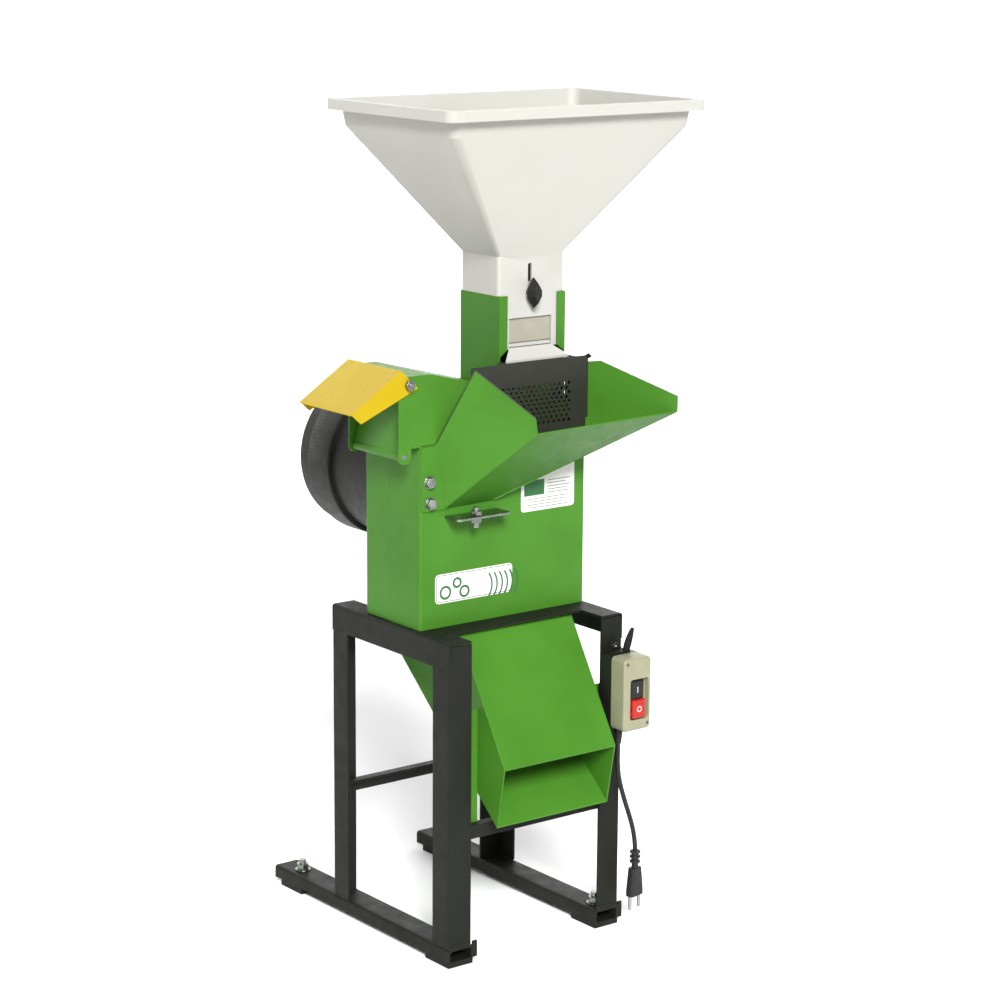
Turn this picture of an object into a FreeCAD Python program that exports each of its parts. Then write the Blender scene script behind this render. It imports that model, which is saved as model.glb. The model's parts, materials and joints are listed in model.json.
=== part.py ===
"""Electric forage chopper and grain mill on an angle-iron stand.

Millimetres. X runs to the right along the front, Y runs to the back, Z runs up.
The origin is on the floor, at the centre of the four anchor holes in the feet.
Each function builds one sub-part, and main() writes them to parts/NODE.step.
"""
import FreeCAD, Part
import os
from math import atan2, cos, hypot, pi, radians, sin, tan

V = FreeCAD.Vector

# ---- stand ---------------------------------------------------------------
stand_half_x = 144.0        # outer faces of the legs
stand_front = -201.0        # outer faces of the front and rear legs
stand_rear = 67.0
stand_top = 440.0
angle_width = 36.0          # both flanges of the angle iron
angle_wall = 3.0
angle_bend = 4.0            # outer radius of every bend in the frame
skid_width = 40.0
skid_top = 25.5
skid_rear_reach = 149.0     # beyond the rear legs
pad_height = 8.0
pad_length = 52.0
pad_inset = 15.0            # from the skid's rear end
ear_tab = (7.0, 3.0, 22.0)  # small plate beside each skid's front end: width, wall, height
anchor_bolt_r = 5.0
anchor_hole_r = 5.5
lower_bar_bottom = 170.5
lower_bar_height = 18.5
lower_bar_depth = 14.0
cross_plate_depth = 45.0
front_plate_y = -157.0       # front edge of the front cross plate
rear_plate_y = -13.0         # front edge of the rear cross plate

# ---- housing -------------------------------------------------------------
housing_left = -134.0
housing_right = 140.0
housing_front = -122.0
housing_back = 1.0
housing_seam = -55.0         # where the front and rear shells meet
sheet = 2.5
housing_bend = 4.0
ridge_x = housing_left + 16.0
ridge_z = stand_top + 338.0
roof_fall = 0.2565          # drop per millimetre to the right of the ridge
spout_left = housing_left - 34.0
spout_bottom = stand_top + 246.0
spout_wall = 2.0
spout_back = housing_back - 11.0
spout_floor_left = housing_left - 14.0
spout_panel_right = housing_left + 70.0
ear_width = 20.0
ear_drop = 22.0
inlet = (-88.0, 128.0, stand_top + 172.0, stand_top + 260.0)   # opening in the front shell: x, x, z, z
inlet_slope = (-22.0, stand_top + 244.0)   # where its lower edge starts to climb, and the height it reaches

# ---- rotor and motor -----------------------------------------------------
rotor_x = 3.0
rotor_z = stand_top + 175.5
shaft_r = 12.0
shaft_front = housing_front + 15.0
running_gap = 0.05
disc_r = 92.0
disc_wall = 6.0
front_disc_y = housing_front + 25.0
rear_disc_y = housing_back - 22.0
hub_r = 22.0
pin_count = 3
pin_circle_r = 74.0
pin_r = 6.0
hammer_tip_r = 118.0
hammer_width = 34.0
hammer_wall = 5.0
hammer_count = 4
knife_count = 2
knife_width = 40.0
knife_wall = 6.0
knife_tip_r = 112.0
knife_root_r = 28.0
sieve_gap = 6.0             # from the hammer tips to the sieve
sieve_wall = 2.0
sieve_hole_r = 4.0
counter_knife_length = 60.0
counter_knife_height = 14.0
motor_r = 105.0
motor_wall = 4.0
motor_flange_wall = 12.0
motor_shell_length = 115.0
motor_ring_r = motor_r + 6.5
motor_ring_length = 50.0
motor_groove = 4.0
motor_bell_r = motor_r + 1.0
motor_bell_length = 26.0
bearing_r = 24.0
bearing_width = 10.0
stator_bore_r = 60.0
rotor_core_gap = 0.6
motor_screw_count = 16

# ---- grain duct, funnel and gate ----------------------------------------
duct_left = 21.0
duct_width = 111.0
duct_right = duct_left + duct_width
duct_front = housing_front + 36.4
duct_top = stand_top + 422.0
duct_wall = 2.0
duct_flange = 14.0
duct_flange_bottom = stand_top + 350.0
duct_flange_cut = 9.0
cheek_front = housing_front - 3.5   # dark plates beside the duct, behind the guard
cheek_top = stand_top + 336.0
cheek_wall = 2.0
funnel_gap = 1.2            # all round the neck, inside the duct
funnel_wall = 3.0
neck_bottom = stand_top + 350.0
neck_top = stand_top + 474.0
shoulder_inset = 0.3        # the funnel's shoulder stands this far inside the duct's faces
band_bottom = stand_top + 640.0
band_top = stand_top + 661.0
rim_top = stand_top + 675.0
rim_inset = 14.0            # from the rim's edge to the band
band_taper = 3.0
rim_left, rim_right = -131.0, 295.0
rim_front, rim_back = -182.0, 100.0
rim_corner_r = 14.0
band_corner_r = 14.0
neck_corner_r = 5.0
window = (duct_left + 18.5, duct_right - 21.5, stand_top + 351.5, stand_top + 391.0)
lip_reach = 14.0
slot_half = 3.3
slot_bottom = stand_top + 420.0
slot_top = stand_top + 463.0
stud_x = duct_left + 52.5
stud_z = stand_top + 424.0
stud_r = 2.8
gate_wall = 2.0
gate_gap = 0.4
knob_height = 42.0
knob_width = 19.0
knob_depth = 15.0

# ---- feed hopper and guard ----------------------------------------------
hopper_wall = 2.0
mouth_rise = 0.02           # the hopper's cross edges rise this much to the right
hopper_floor_left = -97.0
hopper_floor_right = -17.0
hopper_floor_z = stand_top + 158.0
lip_y = housing_front - 110.0
lip_left = -28.0
lip_right = 207.0
lip_z = stand_top + 266.1
lip_height = 21.5
flange_top = stand_top + 243.5
flange_left = housing_left + 1.0
flange_fold_x = -111.0
wall_top_left = (housing_front - 53.0, stand_top + 347.0)   # y and z of the left wall's rear top corner
wall_top_right = (housing_front - 16.0, stand_top + 332.5)
right_wall_foot_z = stand_top + 236.0
guard_left = -56.0
guard_right = 138.0
guard_bottom = stand_top + 242.0
guard_top = stand_top + 340.0
guard_wall = 1.5
guard_y = housing_front - 4.6
guard_hole_r = 2.35
guard_pitch = 8.5            # along a row; every second row is shifted by half of it
guard_row_step = 6.2
guard_margins = (24.0, 32.0, 34.0, 10.0)     # plain metal at the left, right, top and bottom
rail_gap = 0.7
rail_tops = (stand_top + 305.0, stand_top + 256.0)   # left and right
rest_plate = (-94.0, -8.0, housing_front - 31.0, stand_top + 146.0)   # x, x, front y, underside z
rest_wall = 3.0
rest_bolt = (-59.0, housing_front - 21.0)
hopper_bolt_places = ((-121.0, stand_top + 197.0), (-119.0, stand_top + 168.5))
bolt_r = 4.0
bolt_hole_r = 4.4
washer_r = 8.5
nut_flat = 13.0

# ---- discharge chute -----------------------------------------------------
chute_left = -88.0
chute_right = 98.0
chute_wall = 2.0
chute_front_y = housing_front - 25.0
chute_back_y = housing_back - 2.0
chute_back_z = stand_top - 50.0
outlet_top = (housing_front - 124.0, stand_top - 165.5)   # y and z
outlet_bottom = (housing_front - 108.5, stand_top - 249.5)
bracket_y = stand_front + 13.0
bracket_top = stand_top - 97.0
bracket_wall = 2.0

# ---- deflector hood and outlet flap --------------------------------------
hood_pivot = (housing_left - 20.0, stand_top + 327.5)
hood_wall = 1.5
hood_clear = 1.0
hood_profile = ((housing_left - 32.0, stand_top + 347.0), (housing_left - 6.0, stand_top + 322.0),
                (housing_left - 94.0, stand_top + 285.0), (housing_left - 108.5, stand_top + 298.0))
hood_bolt_r = 4.0
flap_rod = (housing_left - 24.8, stand_top + 233.8)
flap_rod_r = 4.0
flap_roll_wall = 2.0
flap_reach = 90.0
flap_lean = 13.0            # degrees in from upright
flap_side_gap = 3.0

# ---- label plates: x, x, z, z, corner radius ------------------------------
badge_plate = (-109.5, 17.0, stand_top + 32.0, stand_top + 71.5, 6.0)
rating_plate = (31.0, 121.0, stand_top + 137.0, stand_top + 212.0, 5.0)
label_wall = 0.5
label_clear = 2.0

# ---- switch, lead and plug ----------------------------------------------
switch_left = stand_half_x - 37.0
switch_width = 47.0
switch_bottom = 290.0
switch_height = 100.0
base_depth = 23.0
cover_depth = 27.0
recess = (switch_left + 11.0, switch_left + 42.5, switch_bottom + 15.0, switch_bottom + 71.0)
recess_depth = 8.0
button_left = switch_left + 13.5
button_right = switch_left + 35.5
button_split = switch_bottom + 43.0
button_margin = 2.5
button_gap = 0.4
on_button_proud = 3.0
off_button_proud = 7.0
button_travel = 3.0
cord_r = 3.25
gland_length = 22.0
gland_start = 0.2           # under the switch base
bracket_bolt_r = 2.5
bracket_ear_r = 8.0
cord_x = switch_left + 13.0
cord_y = stand_front - 24.0
cord_route = (
    (cord_x, cord_y, switch_bottom),
    (cord_x - 1.5, cord_y, switch_bottom - 47.0),
    (cord_x + 2.5, cord_y, switch_bottom - 75.0),
    (cord_x + 13.0, cord_y, switch_bottom - 106.0),
    (cord_x + 27.0, cord_y + 0.5, switch_bottom - 141.0),
    (cord_x + 33.5, cord_y + 1.0, switch_bottom - 168.0),
    (cord_x + 34.0, cord_y + 1.0, switch_bottom - 181.0),
)
plug_turn = 12.0            # degrees about the cord
plug_rib_length = 24.0
plug_body_length = 40.0
pin_length = 19.0
plug_pin_r = 2.4
plug_pin_pitch = 19.0


# ---- shapes --------------------------------------------------------------
def box(x0, x1, y0, y1, z0, z1):
    return Part.makeBox(x1 - x0, y1 - y0, z1 - z0, V(x0, y0, z0))


def rod(radius, start, end):
    axis = V(*end) - V(*start)
    return Part.makeCylinder(radius, axis.Length, V(*start), axis)


def tube(outer, inner, start, end):
    return rod(outer, start, end).cut(rod(inner, start, end))


def y_rod(radius, x, z, y0, y1):
    return rod(radius, (x, y0, z), (x, y1, z))


def y_tube(outer, inner, y0, y1, x=rotor_x, z=rotor_z):
    return tube(outer, inner, (x, y0, z), (x, y1, z))


def prism(corners, travel):
    wire = Part.makePolygon([V(*c) for c in corners] + [V(*corners[0])])
    return Part.Face(wire).extrude(V(*travel))


def prism_xz(corners, y0, y1):
    return prism([(x, y0, z) for x, z in corners], (0, y1 - y0, 0))


def prism_yz(corners, x0, x1):
    return prism([(x0, y, z) for y, z in corners], (x1 - x0, 0, 0))


def panel(corners, thickness, inside):
    """A flat sheet on the given corners, its thickness towards the point inside."""
    points = [V(*c) for c in corners]
    normal = (points[1] - points[0]).cross(points[2] - points[0])
    normal.normalize()
    if normal.dot(V(*inside) - points[0]) < 0:
        normal = normal * -1
    return prism(corners, tuple(normal * thickness))


def fuse(shapes):
    return shapes[0].multiFuse(shapes[1:]).removeSplitter()


def round_edges(shape, radius, wanted):
    edges = [e for e in shape.Edges if wanted(e)]
    return shape.makeFillet(radius, edges)


def vertical(edge):
    box_ = edge.BoundBox
    return box_.XLength < 0.01 and box_.YLength < 0.01


def along_y_at(x, z):
    def wanted(edge):
        b = edge.BoundBox
        return b.YLength > 1 and abs(b.XMin - x) + abs(b.XMax - x) + abs(b.ZMin - z) + abs(b.ZMax - z) < 0.04
    return wanted


def upright_at(x, y):
    def wanted(edge):
        b = edge.BoundBox
        return b.ZLength > 1 and abs(b.XMin - x) + abs(b.XMax - x) + abs(b.YMin - y) + abs(b.YMax - y) < 0.04
    return wanted


def rounded_rectangle(x0, x1, y0, y1, z, r):
    """A closed wire of four lines and four arcs, level at height z."""
    corners = ((x1 - r, y0 + r, -90), (x1 - r, y1 - r, 0), (x0 + r, y1 - r, 90), (x0 + r, y0 + r, 180))
    edges = []
    last = None
    first = None
    for cx, cy, start in corners:
        a, m, b = (V(cx + r * cos(radians(start + t)), cy + r * sin(radians(start + t)), z) for t in (0, 45, 90))
        if last is not None:
            edges.append(Part.makeLine(last, a))
        else:
            first = a
        edges.append(Part.Arc(a, m, b).toShape())
        last = b
    edges.append(Part.makeLine(last, first))
    return Part.Wire(edges)


def loft(wires):
    return Part.makeLoft(wires, True, True)


def hexagon(flat, centre, axis, height):
    """A hexagonal prism across the given flats, along +X, +Y or +Z (axis 0, 1, 2)."""
    radius = flat / 2 / cos(pi / 6)
    points = []
    for i in range(6):
        a = pi / 3 * i
        offset = [radius * cos(a), radius * sin(a)]
        offset.insert(axis, 0.0)
        points.append(tuple(c + o for c, o in zip(centre, offset)))
    travel = [0.0, 0.0, 0.0]
    travel[axis] = height
    return prism(points, tuple(travel))


def mirrored_x(shape):
    return shape.mirror(V(0, 0, 0), V(1, 0, 0))


def mirrored_y(shape):
    return shape.mirror(V(0, (stand_front + stand_rear) / 2, 0), V(0, 1, 0))


def offset_outline(points, distances):
    """Move each edge of a closed outline inward by its own distance (counter-clockwise outline)."""
    count = len(points)
    lines = []
    for i in range(count):
        (ax, ay), (bx, by) = points[i], points[(i + 1) % count]
        length = hypot(bx - ax, by - ay)
        nx, ny = -(by - ay) / length, (bx - ax) / length
        lines.append((nx, ny, nx * ax + ny * ay + distances[i]))
    corners = []
    for i in range(count):
        a1, b1, c1 = lines[i - 1]
        a2, b2, c2 = lines[i]
        det = a1 * b2 - a2 * b1
        corners.append(((c1 * b2 - c2 * b1) / det, (a1 * c2 - a2 * c1) / det))
    return corners


def roof_z(x):
    return ridge_z - max(0.0, x - ridge_x) * roof_fall


def polar(radius, angle, y):
    """A point about the rotor's axis; the angle is in degrees from +X towards +Z."""
    return V(rotor_x + radius * cos(radians(angle)), y, rotor_z + radius * sin(radians(angle)))


# ---- stand ---------------------------------------------------------------
def skid_box(x0, x1):
    """One inverted channel with round top bends, before its holes."""
    y0, y1 = stand_front, stand_rear + skid_rear_reach
    outer = box(x0, x1, y0, y1, pad_height, skid_top)
    outer = round_edges(outer, angle_bend, lambda e: along_y_at(x0, skid_top)(e) or along_y_at(x1, skid_top)(e))
    hollow = box(x0 + angle_wall, x1 - angle_wall, y0, y1, pad_height, skid_top - angle_wall)
    return outer.cut(hollow)


skid_inner = stand_half_x - skid_width
anchor_x = stand_half_x - skid_width / 2
pad_ys = (stand_front, stand_rear + skid_rear_reach - pad_inset - pad_length)
anchor_places = [(side * anchor_x, y + pad_length / 2) for side in (-1, 1) for y in pad_ys]


def skids():
    right = skid_box(skid_inner, stand_half_x)
    for x, y in anchor_places:
        if x > 0:
            right = right.cut(rod(anchor_hole_r, (x, y, 0), (x, y, skid_top + 1)))
    width, wall, height = ear_tab
    pieces = []
    for skid, x in ((mirrored_x(right), -skid_inner), (right, stand_half_x)):
        tab = box(x - angle_wall, x + width, stand_front, stand_front + wall, pad_height, pad_height + height)
        tab = tab.cut(box(x - angle_wall, x, stand_front - 1, stand_front + wall + 1, skid_top, stand_top))
        pieces.append(fuse([skid, tab]))
    return pieces


def foot_pads():
    pads = []
    for x, y in anchor_places:
        pad = box(x - skid_width / 2, x + skid_width / 2, y - pad_length / 2, y + pad_length / 2, 0, pad_height)
        pads.append(pad.cut(rod(anchor_hole_r, (x, y, -1), (x, y, pad_height + 1))))
    return pads


def foot_bolts():
    """Studs with a thin head under the skid's web, inside the channel."""
    web = skid_top - angle_wall
    bolts = []
    for x, y in anchor_places:
        stud = rod(anchor_bolt_r, (x, y, pad_height), (x, y, skid_top + 16))
        head = hexagon(nut_flat + 3, (x, y, web - 5), 2, 5)
        bolts.append(stud.fuse(head))
    return bolts


def foot_nuts():
    pieces = []
    for x, y in anchor_places:
        pieces.append(tube(11, anchor_bolt_r, (x, y, skid_top), (x, y, skid_top + 2)))
        nut = hexagon(nut_flat + 3, (x, y, skid_top + 2), 2, 8)
        pieces.append(nut.cut(rod(anchor_bolt_r, (x, y, skid_top), (x, y, skid_top + 12))))
    return pieces


def top_rail():
    """The right-hand rail: an angle with a top flange and an outer flange."""
    x1 = stand_half_x
    top = box(x1 - angle_width, x1, stand_front, stand_rear, stand_top - angle_wall, stand_top)
    side = box(x1 - angle_wall, x1, stand_front, stand_rear, stand_top - angle_width, stand_top)
    rail = fuse([top, side])
    rail = round_edges(rail, angle_bend, along_y_at(x1, stand_top))
    return round_edges(rail, angle_bend - angle_wall, along_y_at(x1 - angle_wall, stand_top - angle_wall))


def top_rails():
    right = top_rail()
    return [mirrored_x(right), right]


def leg():
    """The front right leg: an angle with its bend at the outer corner."""
    x1, y0 = stand_half_x, stand_front
    leg_top = stand_top - angle_bend
    front = box(x1 - angle_width, x1, y0, y0 + angle_wall, skid_top, leg_top)
    side = box(x1 - angle_wall, x1, y0, y0 + angle_width, skid_top, leg_top)
    shape = round_edges(fuse([front, side]), angle_bend - 0.5, upright_at(x1, y0))
    notch = box(x1 - angle_wall, x1 + 1, y0 - 1, y0 + angle_width + 1, stand_top - angle_width, stand_top)
    return shape.cut(notch)


def legs():
    right = [leg(), mirrored_y(leg())]
    left = [mirrored_x(shape) for shape in right]
    x, z = bracket_bolt_place
    right[0] = right[0].cut(y_rod(bracket_bolt_r, x, z, stand_front - 1, stand_front + angle_wall + 1))
    return right + left


def lower_bar(y0, y1, inner_y):
    """A small angle across the stand, its upright flange at the outer side."""
    x1 = stand_half_x - angle_wall
    top = lower_bar_bottom + lower_bar_height
    upright = box(-x1, x1, *sorted((y0, y1)), lower_bar_bottom, top)
    level = box(-x1, x1, *sorted((y0, inner_y)), top - angle_wall, top)
    return fuse([upright, level])


def lower_bars():
    face = stand_front + angle_wall
    front = lower_bar(face, face + angle_wall, face + lower_bar_depth)
    return [front, mirrored_y(front)]


def cross_plates():
    half = stand_half_x - angle_width
    return [box(-half, half, y, y + cross_plate_depth, stand_top - angle_wall, stand_top)
            for y in (front_plate_y, rear_plate_y)]


# ---- housing -------------------------------------------------------------
def housing_profile(inset=0.0):
    """The housing's outline seen from the front, under the roof sheet."""
    under = sheet / cos(atan2(roof_fall, 1.0))
    x0, x1 = housing_left + inset, housing_right - inset
    return [(x0, stand_top), (x1, stand_top), (x1, roof_z(x1) - under),
            (ridge_x, ridge_z - under), (x0, ridge_z - under)]


def shell(y0, y1, plate_y0, plate_y1):
    """A tray of the housing: its plate and the side flanges that run to the seam."""
    outer = prism_xz(housing_profile(), y0, y1)
    hollow = box(housing_left + sheet, housing_right - sheet, y0, y1, stand_top - 1, ridge_z + 1)
    plate = prism_xz(housing_profile(), plate_y0, plate_y1)
    side_open = box(housing_left - 1, housing_left + sheet + 1, housing_front + sheet,
                    spout_back - spout_wall, spout_bottom, ridge_z + 1)
    return fuse([outer.cut(hollow), plate]).cut(side_open)


def bolt_holes():
    return [y_rod(bolt_hole_r, x, z, housing_front - 5, housing_front + 5) for x, z in hopper_bolt_places]


def housing_front_shell():
    shape = shell(housing_front, housing_seam, housing_front, housing_front + sheet)
    shape = round_edges(shape, housing_bend, lambda e: upright_at(housing_left, housing_front)(e)
                        or upright_at(housing_right, housing_front)(e))
    x0, x1, z0, z1 = inlet
    opening = prism_xz([(x0, z0), (inlet_slope[0], z0), (x1, inlet_slope[1]), (x1, z1), (x0, z1)],
                       housing_front - 1, housing_front + sheet + 1)
    shape = shape.cut(round_edges(opening, 8, lambda e: e.BoundBox.YLength > 1))
    for hole in bolt_holes():
        shape = shape.cut(hole)
    return [shape]


def housing_rear_shell():
    shape = shell(housing_seam, housing_back, housing_back - sheet, housing_back)
    shape = round_edges(shape, housing_bend, lambda e: upright_at(housing_left, housing_back)(e)
                        or upright_at(housing_right, housing_back)(e))
    return [shape.cut(y_rod(shaft_r + 18, rotor_x, rotor_z, housing_back - 10, housing_back + 10))]


def housing_roof():
    under = sheet / cos(atan2(roof_fall, 1.0))
    profile = [(spout_left, ridge_z - sheet), (ridge_x, ridge_z - under),
               (housing_right, roof_z(housing_right) - under), (housing_right, roof_z(housing_right)),
               (ridge_x, ridge_z), (spout_left, ridge_z)]
    roof = prism_xz(profile, housing_front, housing_back)
    roof = roof.cut(box(spout_left - 1, housing_left, spout_back - spout_wall, housing_back + 1,
                        ridge_z - 78, ridge_z + 22))
    opening = box(duct_left + duct_wall, duct_right - duct_wall, housing_front + sheet + 2,
                  housing_back - duct_wall - 2, rotor_z, ridge_z)
    return [roof.cut(opening)]


def ear(y0, y1):
    r = ear_width / 2
    x = flap_rod[0]
    plate = box(x - r, x + r, y0, y1, spout_bottom - ear_drop + r, spout_bottom)
    disc = y_rod(r, x, spout_bottom - ear_drop + r, y0, y1)
    return fuse([plate, disc]).cut(y_rod(flap_rod_r, *flap_rod, y0, y1))


def outlet_spout():
    front_y = housing_front - spout_wall
    right = spout_panel_right
    front = prism_xz([(spout_left, spout_bottom), (right, spout_bottom), (right, roof_z(right)),
                      (ridge_x, ridge_z), (spout_left, ridge_z)], front_y, housing_front)
    back = box(spout_left, housing_left, spout_back - spout_wall, spout_back, spout_bottom, ridge_z)
    floor = box(spout_floor_left, housing_left, front_y, spout_back, spout_bottom - spout_wall, spout_bottom)
    shape = fuse([front, back, floor, ear(front_y, housing_front), ear(spout_back - spout_wall, spout_back)])
    for y in (front_y, spout_back):
        shape = shape.cut(y_rod(hood_bolt_r, *hood_pivot, y - 3, y + 3))
    return [shape]


def flap_rod_pin():
    x, z = flap_rod
    return [y_rod(flap_rod_r, x, z, housing_front - spout_wall, spout_back)]


def counter_knife():
    """A bar inside the inlet's lower edge, just clear of the knives' front faces."""
    x0, z1 = inlet[0] + 8, inlet[2]
    root, tip = housing_front + sheet, front_disc_y - disc_wall - knife_wall - 1
    z0 = z1 - counter_knife_height
    return [prism_yz([(root, z1), (root, z0), (tip, z0), (tip, z1 - 2)], x0, x0 + counter_knife_length)]


def sieve():
    r0 = hammer_tip_r + sieve_gap
    y0, y1 = housing_front + sheet, housing_back - sheet
    full = y_tube(r0 + sieve_wall, r0, y0, y1)
    keep = prism_xz([(rotor_x, rotor_z), (rotor_x - 400, rotor_z - 145),
                     (rotor_x - 400, rotor_z - 500), (rotor_x + 400, rotor_z - 500),
                     (rotor_x + 400, rotor_z - 145)], y0, y1)
    shape = full.common(keep)
    holes = []
    rows = 5
    for row in range(rows):
        y = y0 + (y1 - y0) * (row + 0.5) / rows
        for column in range(13):
            angle = 208 + 10 * column + (5 if row % 2 else 0)
            holes.append(rod(sieve_hole_r, polar(r0 - 4, angle, y), polar(r0 + sieve_wall + 4, angle, y)))
    return [shape.cut(Part.makeCompound(holes))]


# ---- grain duct ----------------------------------------------------------
def grain_duct():
    back = housing_back
    low = rotor_z
    outer = box(duct_left, duct_right, duct_front, back, low + 10, duct_top)
    inner = box(duct_left + duct_wall, duct_right - duct_wall, duct_front + duct_wall,
                back - duct_wall, low, duct_top + 1)
    mouth = box(duct_left + duct_flange, duct_right - duct_flange, duct_front - 1, duct_front + 5,
                low, duct_top + 1)
    shape = outer.cut(inner).cut(mouth)
    below_roof = prism_xz([(duct_left - 5, roof_z(duct_left - 5)), (duct_left - 5, low),
                           (duct_right + 5, low), (duct_right + 5, roof_z(duct_right + 5))],
                          duct_front - 5, back + 5)
    shape = shape.cut(below_roof)
    z = duct_flange_bottom
    for side, edge in ((1, duct_left + duct_wall), (-1, duct_right - duct_wall)):
        inner_edge = edge + side * (duct_flange - duct_wall)
        corner = [(edge, z - duct_flange_cut), (edge, low), (inner_edge + side, low),
                  (inner_edge + side, z), (inner_edge, z)]
        shape = shape.cut(prism_xz(corner, duct_front - 1, duct_front + duct_wall))
    return [shape]


def grain_cheeks():
    """Plates beside the duct that close the space between it and the guard."""
    cheeks = []
    for edge, side in ((duct_left, -1), (duct_right, 1)):
        x0, x1 = sorted((edge, edge + side * cheek_wall))
        cheeks.append(prism_xz([(x0, roof_z(x0)), (x1, roof_z(x1)), (x1, cheek_top), (x0, cheek_top)],
                               cheek_front, duct_front))
    return cheeks


neck = (duct_left + duct_wall + funnel_gap, duct_right - duct_wall - funnel_gap,
        duct_front + duct_wall + funnel_gap, housing_back - duct_wall - funnel_gap)
shoulder = (duct_left + shoulder_inset, duct_right - shoulder_inset, neck[2], housing_back - shoulder_inset)


def funnel_form(throat, inset, z_shift):
    """The funnel's outer form (inset 0) or its hollow (inset = wall)."""
    x0, x1, y0, y1 = neck
    low = neck_bottom - 20 * z_shift
    neck_part = loft([rounded_rectangle(x0 + inset, x1 - inset, y0 + inset, y1 - inset, z, neck_corner_r - inset)
                      for z in (low, neck_top)])
    step = rim_inset + inset
    band = [(rim_left + step + t, rim_right - step - t, rim_front + step + t, rim_back - step - t, z)
            for t, z in ((band_taper, band_bottom), (0.0, band_top))]
    tx0, tx1, ty0, ty1 = throat
    cone = loft([rounded_rectangle(tx0 + inset, tx1 - inset, ty0 + inset, ty1 - inset, neck_top,
                                   neck_corner_r - inset),
                 rounded_rectangle(*band[0], band_corner_r)])
    collar = loft([rounded_rectangle(*level, band_corner_r) for level in band])
    return neck_part, cone, collar


def grain_funnel():
    neck_part, cone, collar = funnel_form(shoulder, 0.0, 0)
    seat = loft([rounded_rectangle(*shoulder, z, neck_corner_r) for z in (duct_top, neck_top)])
    rim_outer = loft([rounded_rectangle(rim_left + t, rim_right - t, rim_front + t, rim_back - t, z, rim_corner_r)
                      for t, z in ((0.5, band_top), (0.0, rim_top))])
    outer = fuse([neck_part, seat, cone, collar, rim_outer])
    in_neck, in_cone, in_collar = funnel_form(neck, funnel_wall, 1)
    step = rim_inset + funnel_wall
    in_rim = loft([rounded_rectangle(rim_left + t, rim_right - t, rim_front + t, rim_back - t, z, band_corner_r)
                   for t, z in ((step, band_top), (step - 6, rim_top + 1))])
    under = loft([rounded_rectangle(rim_left + t, rim_right - t, rim_front + t, rim_back - t, z, rim_corner_r - 2)
                  for t, z in ((funnel_wall, band_top - 1), (funnel_wall, rim_top - funnel_wall))])
    collar_keep = loft([rounded_rectangle(rim_left + t, rim_right - t, rim_front + t, rim_back - t, z, band_corner_r)
                        for t, z in ((rim_inset, band_top - 1), (rim_inset - 3, rim_top - funnel_wall))])
    shape = outer.cut(fuse([in_neck, in_cone, in_collar, in_rim])).cut(under.cut(collar_keep))
    x0, x1, y0, y1 = neck
    floor_rise = 52.0
    floor = prism_yz([(y0, neck_bottom), (y1, neck_bottom + floor_rise),
                      (y1, neck_bottom + floor_rise + funnel_wall), (y0, neck_bottom + funnel_wall)], x0, x1)
    below = prism_yz([(y0 + funnel_wall, neck_bottom - 1), (y1 + 1, neck_bottom - 1),
                      (y1 + 1, neck_bottom + floor_rise), (y0 + funnel_wall, neck_bottom + 1.2)], x0 - 1, x1 + 1)
    shape = shape.cut(below)
    wx0, wx1, wz0, wz1 = window
    lip_outer = 0.5
    lip = Part.makeLoft([
        Part.makePolygon([V(wx0, y0, wz0), V(wx1, y0, wz0), V(wx1, y0, wz0 - funnel_wall),
                          V(wx0, y0, wz0 - funnel_wall), V(wx0, y0, wz0)]),
        Part.makePolygon([V(x0 - lip_outer, y0 - lip_reach, wz0 - lip_reach),
                          V(x1 + lip_outer, y0 - lip_reach, wz0 - lip_reach),
                          V(x1 + lip_outer, y0 - lip_reach, wz0 - lip_reach - funnel_wall),
                          V(x0 - lip_outer, y0 - lip_reach, wz0 - lip_reach - funnel_wall),
                          V(x0 - lip_outer, y0 - lip_reach, wz0 - lip_reach)])], True, True)
    shape = fuse([shape, floor, lip])
    for edge, side in ((duct_left, 1), (duct_right, -1)):
        xs = sorted((edge - 20 * side, edge + side * (duct_flange + funnel_gap)))
        shape = shape.cut(box(xs[0], xs[1], duct_front - funnel_gap, duct_front + duct_wall + funnel_gap / 2,
                              wz0 - 40, duct_top + 20))
    shape = shape.cut(box(wx0, wx1, y0 - 1, y0 + funnel_wall + 0.5, wz0, wz1))
    slot = box(stud_x - slot_half, stud_x + slot_half, y0 - 1, y0 + funnel_wall + 0.5, slot_bottom, slot_top)
    return [shape.cut(round_edges(slot, slot_half - 0.1, lambda e: e.BoundBox.YLength > 1))]


def gate_plate():
    x0, x1, y0, _ = neck
    y = y0 + funnel_wall + gate_gap
    margin = funnel_wall + 3
    plate = box(x0 + margin, x1 - margin, y, y + gate_wall, window[2] + 6.5, stud_z + 14)
    return [plate.cut(y_rod(stud_r + running_gap, stud_x, stud_z, y - 1, y + gate_wall + 1))]


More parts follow.
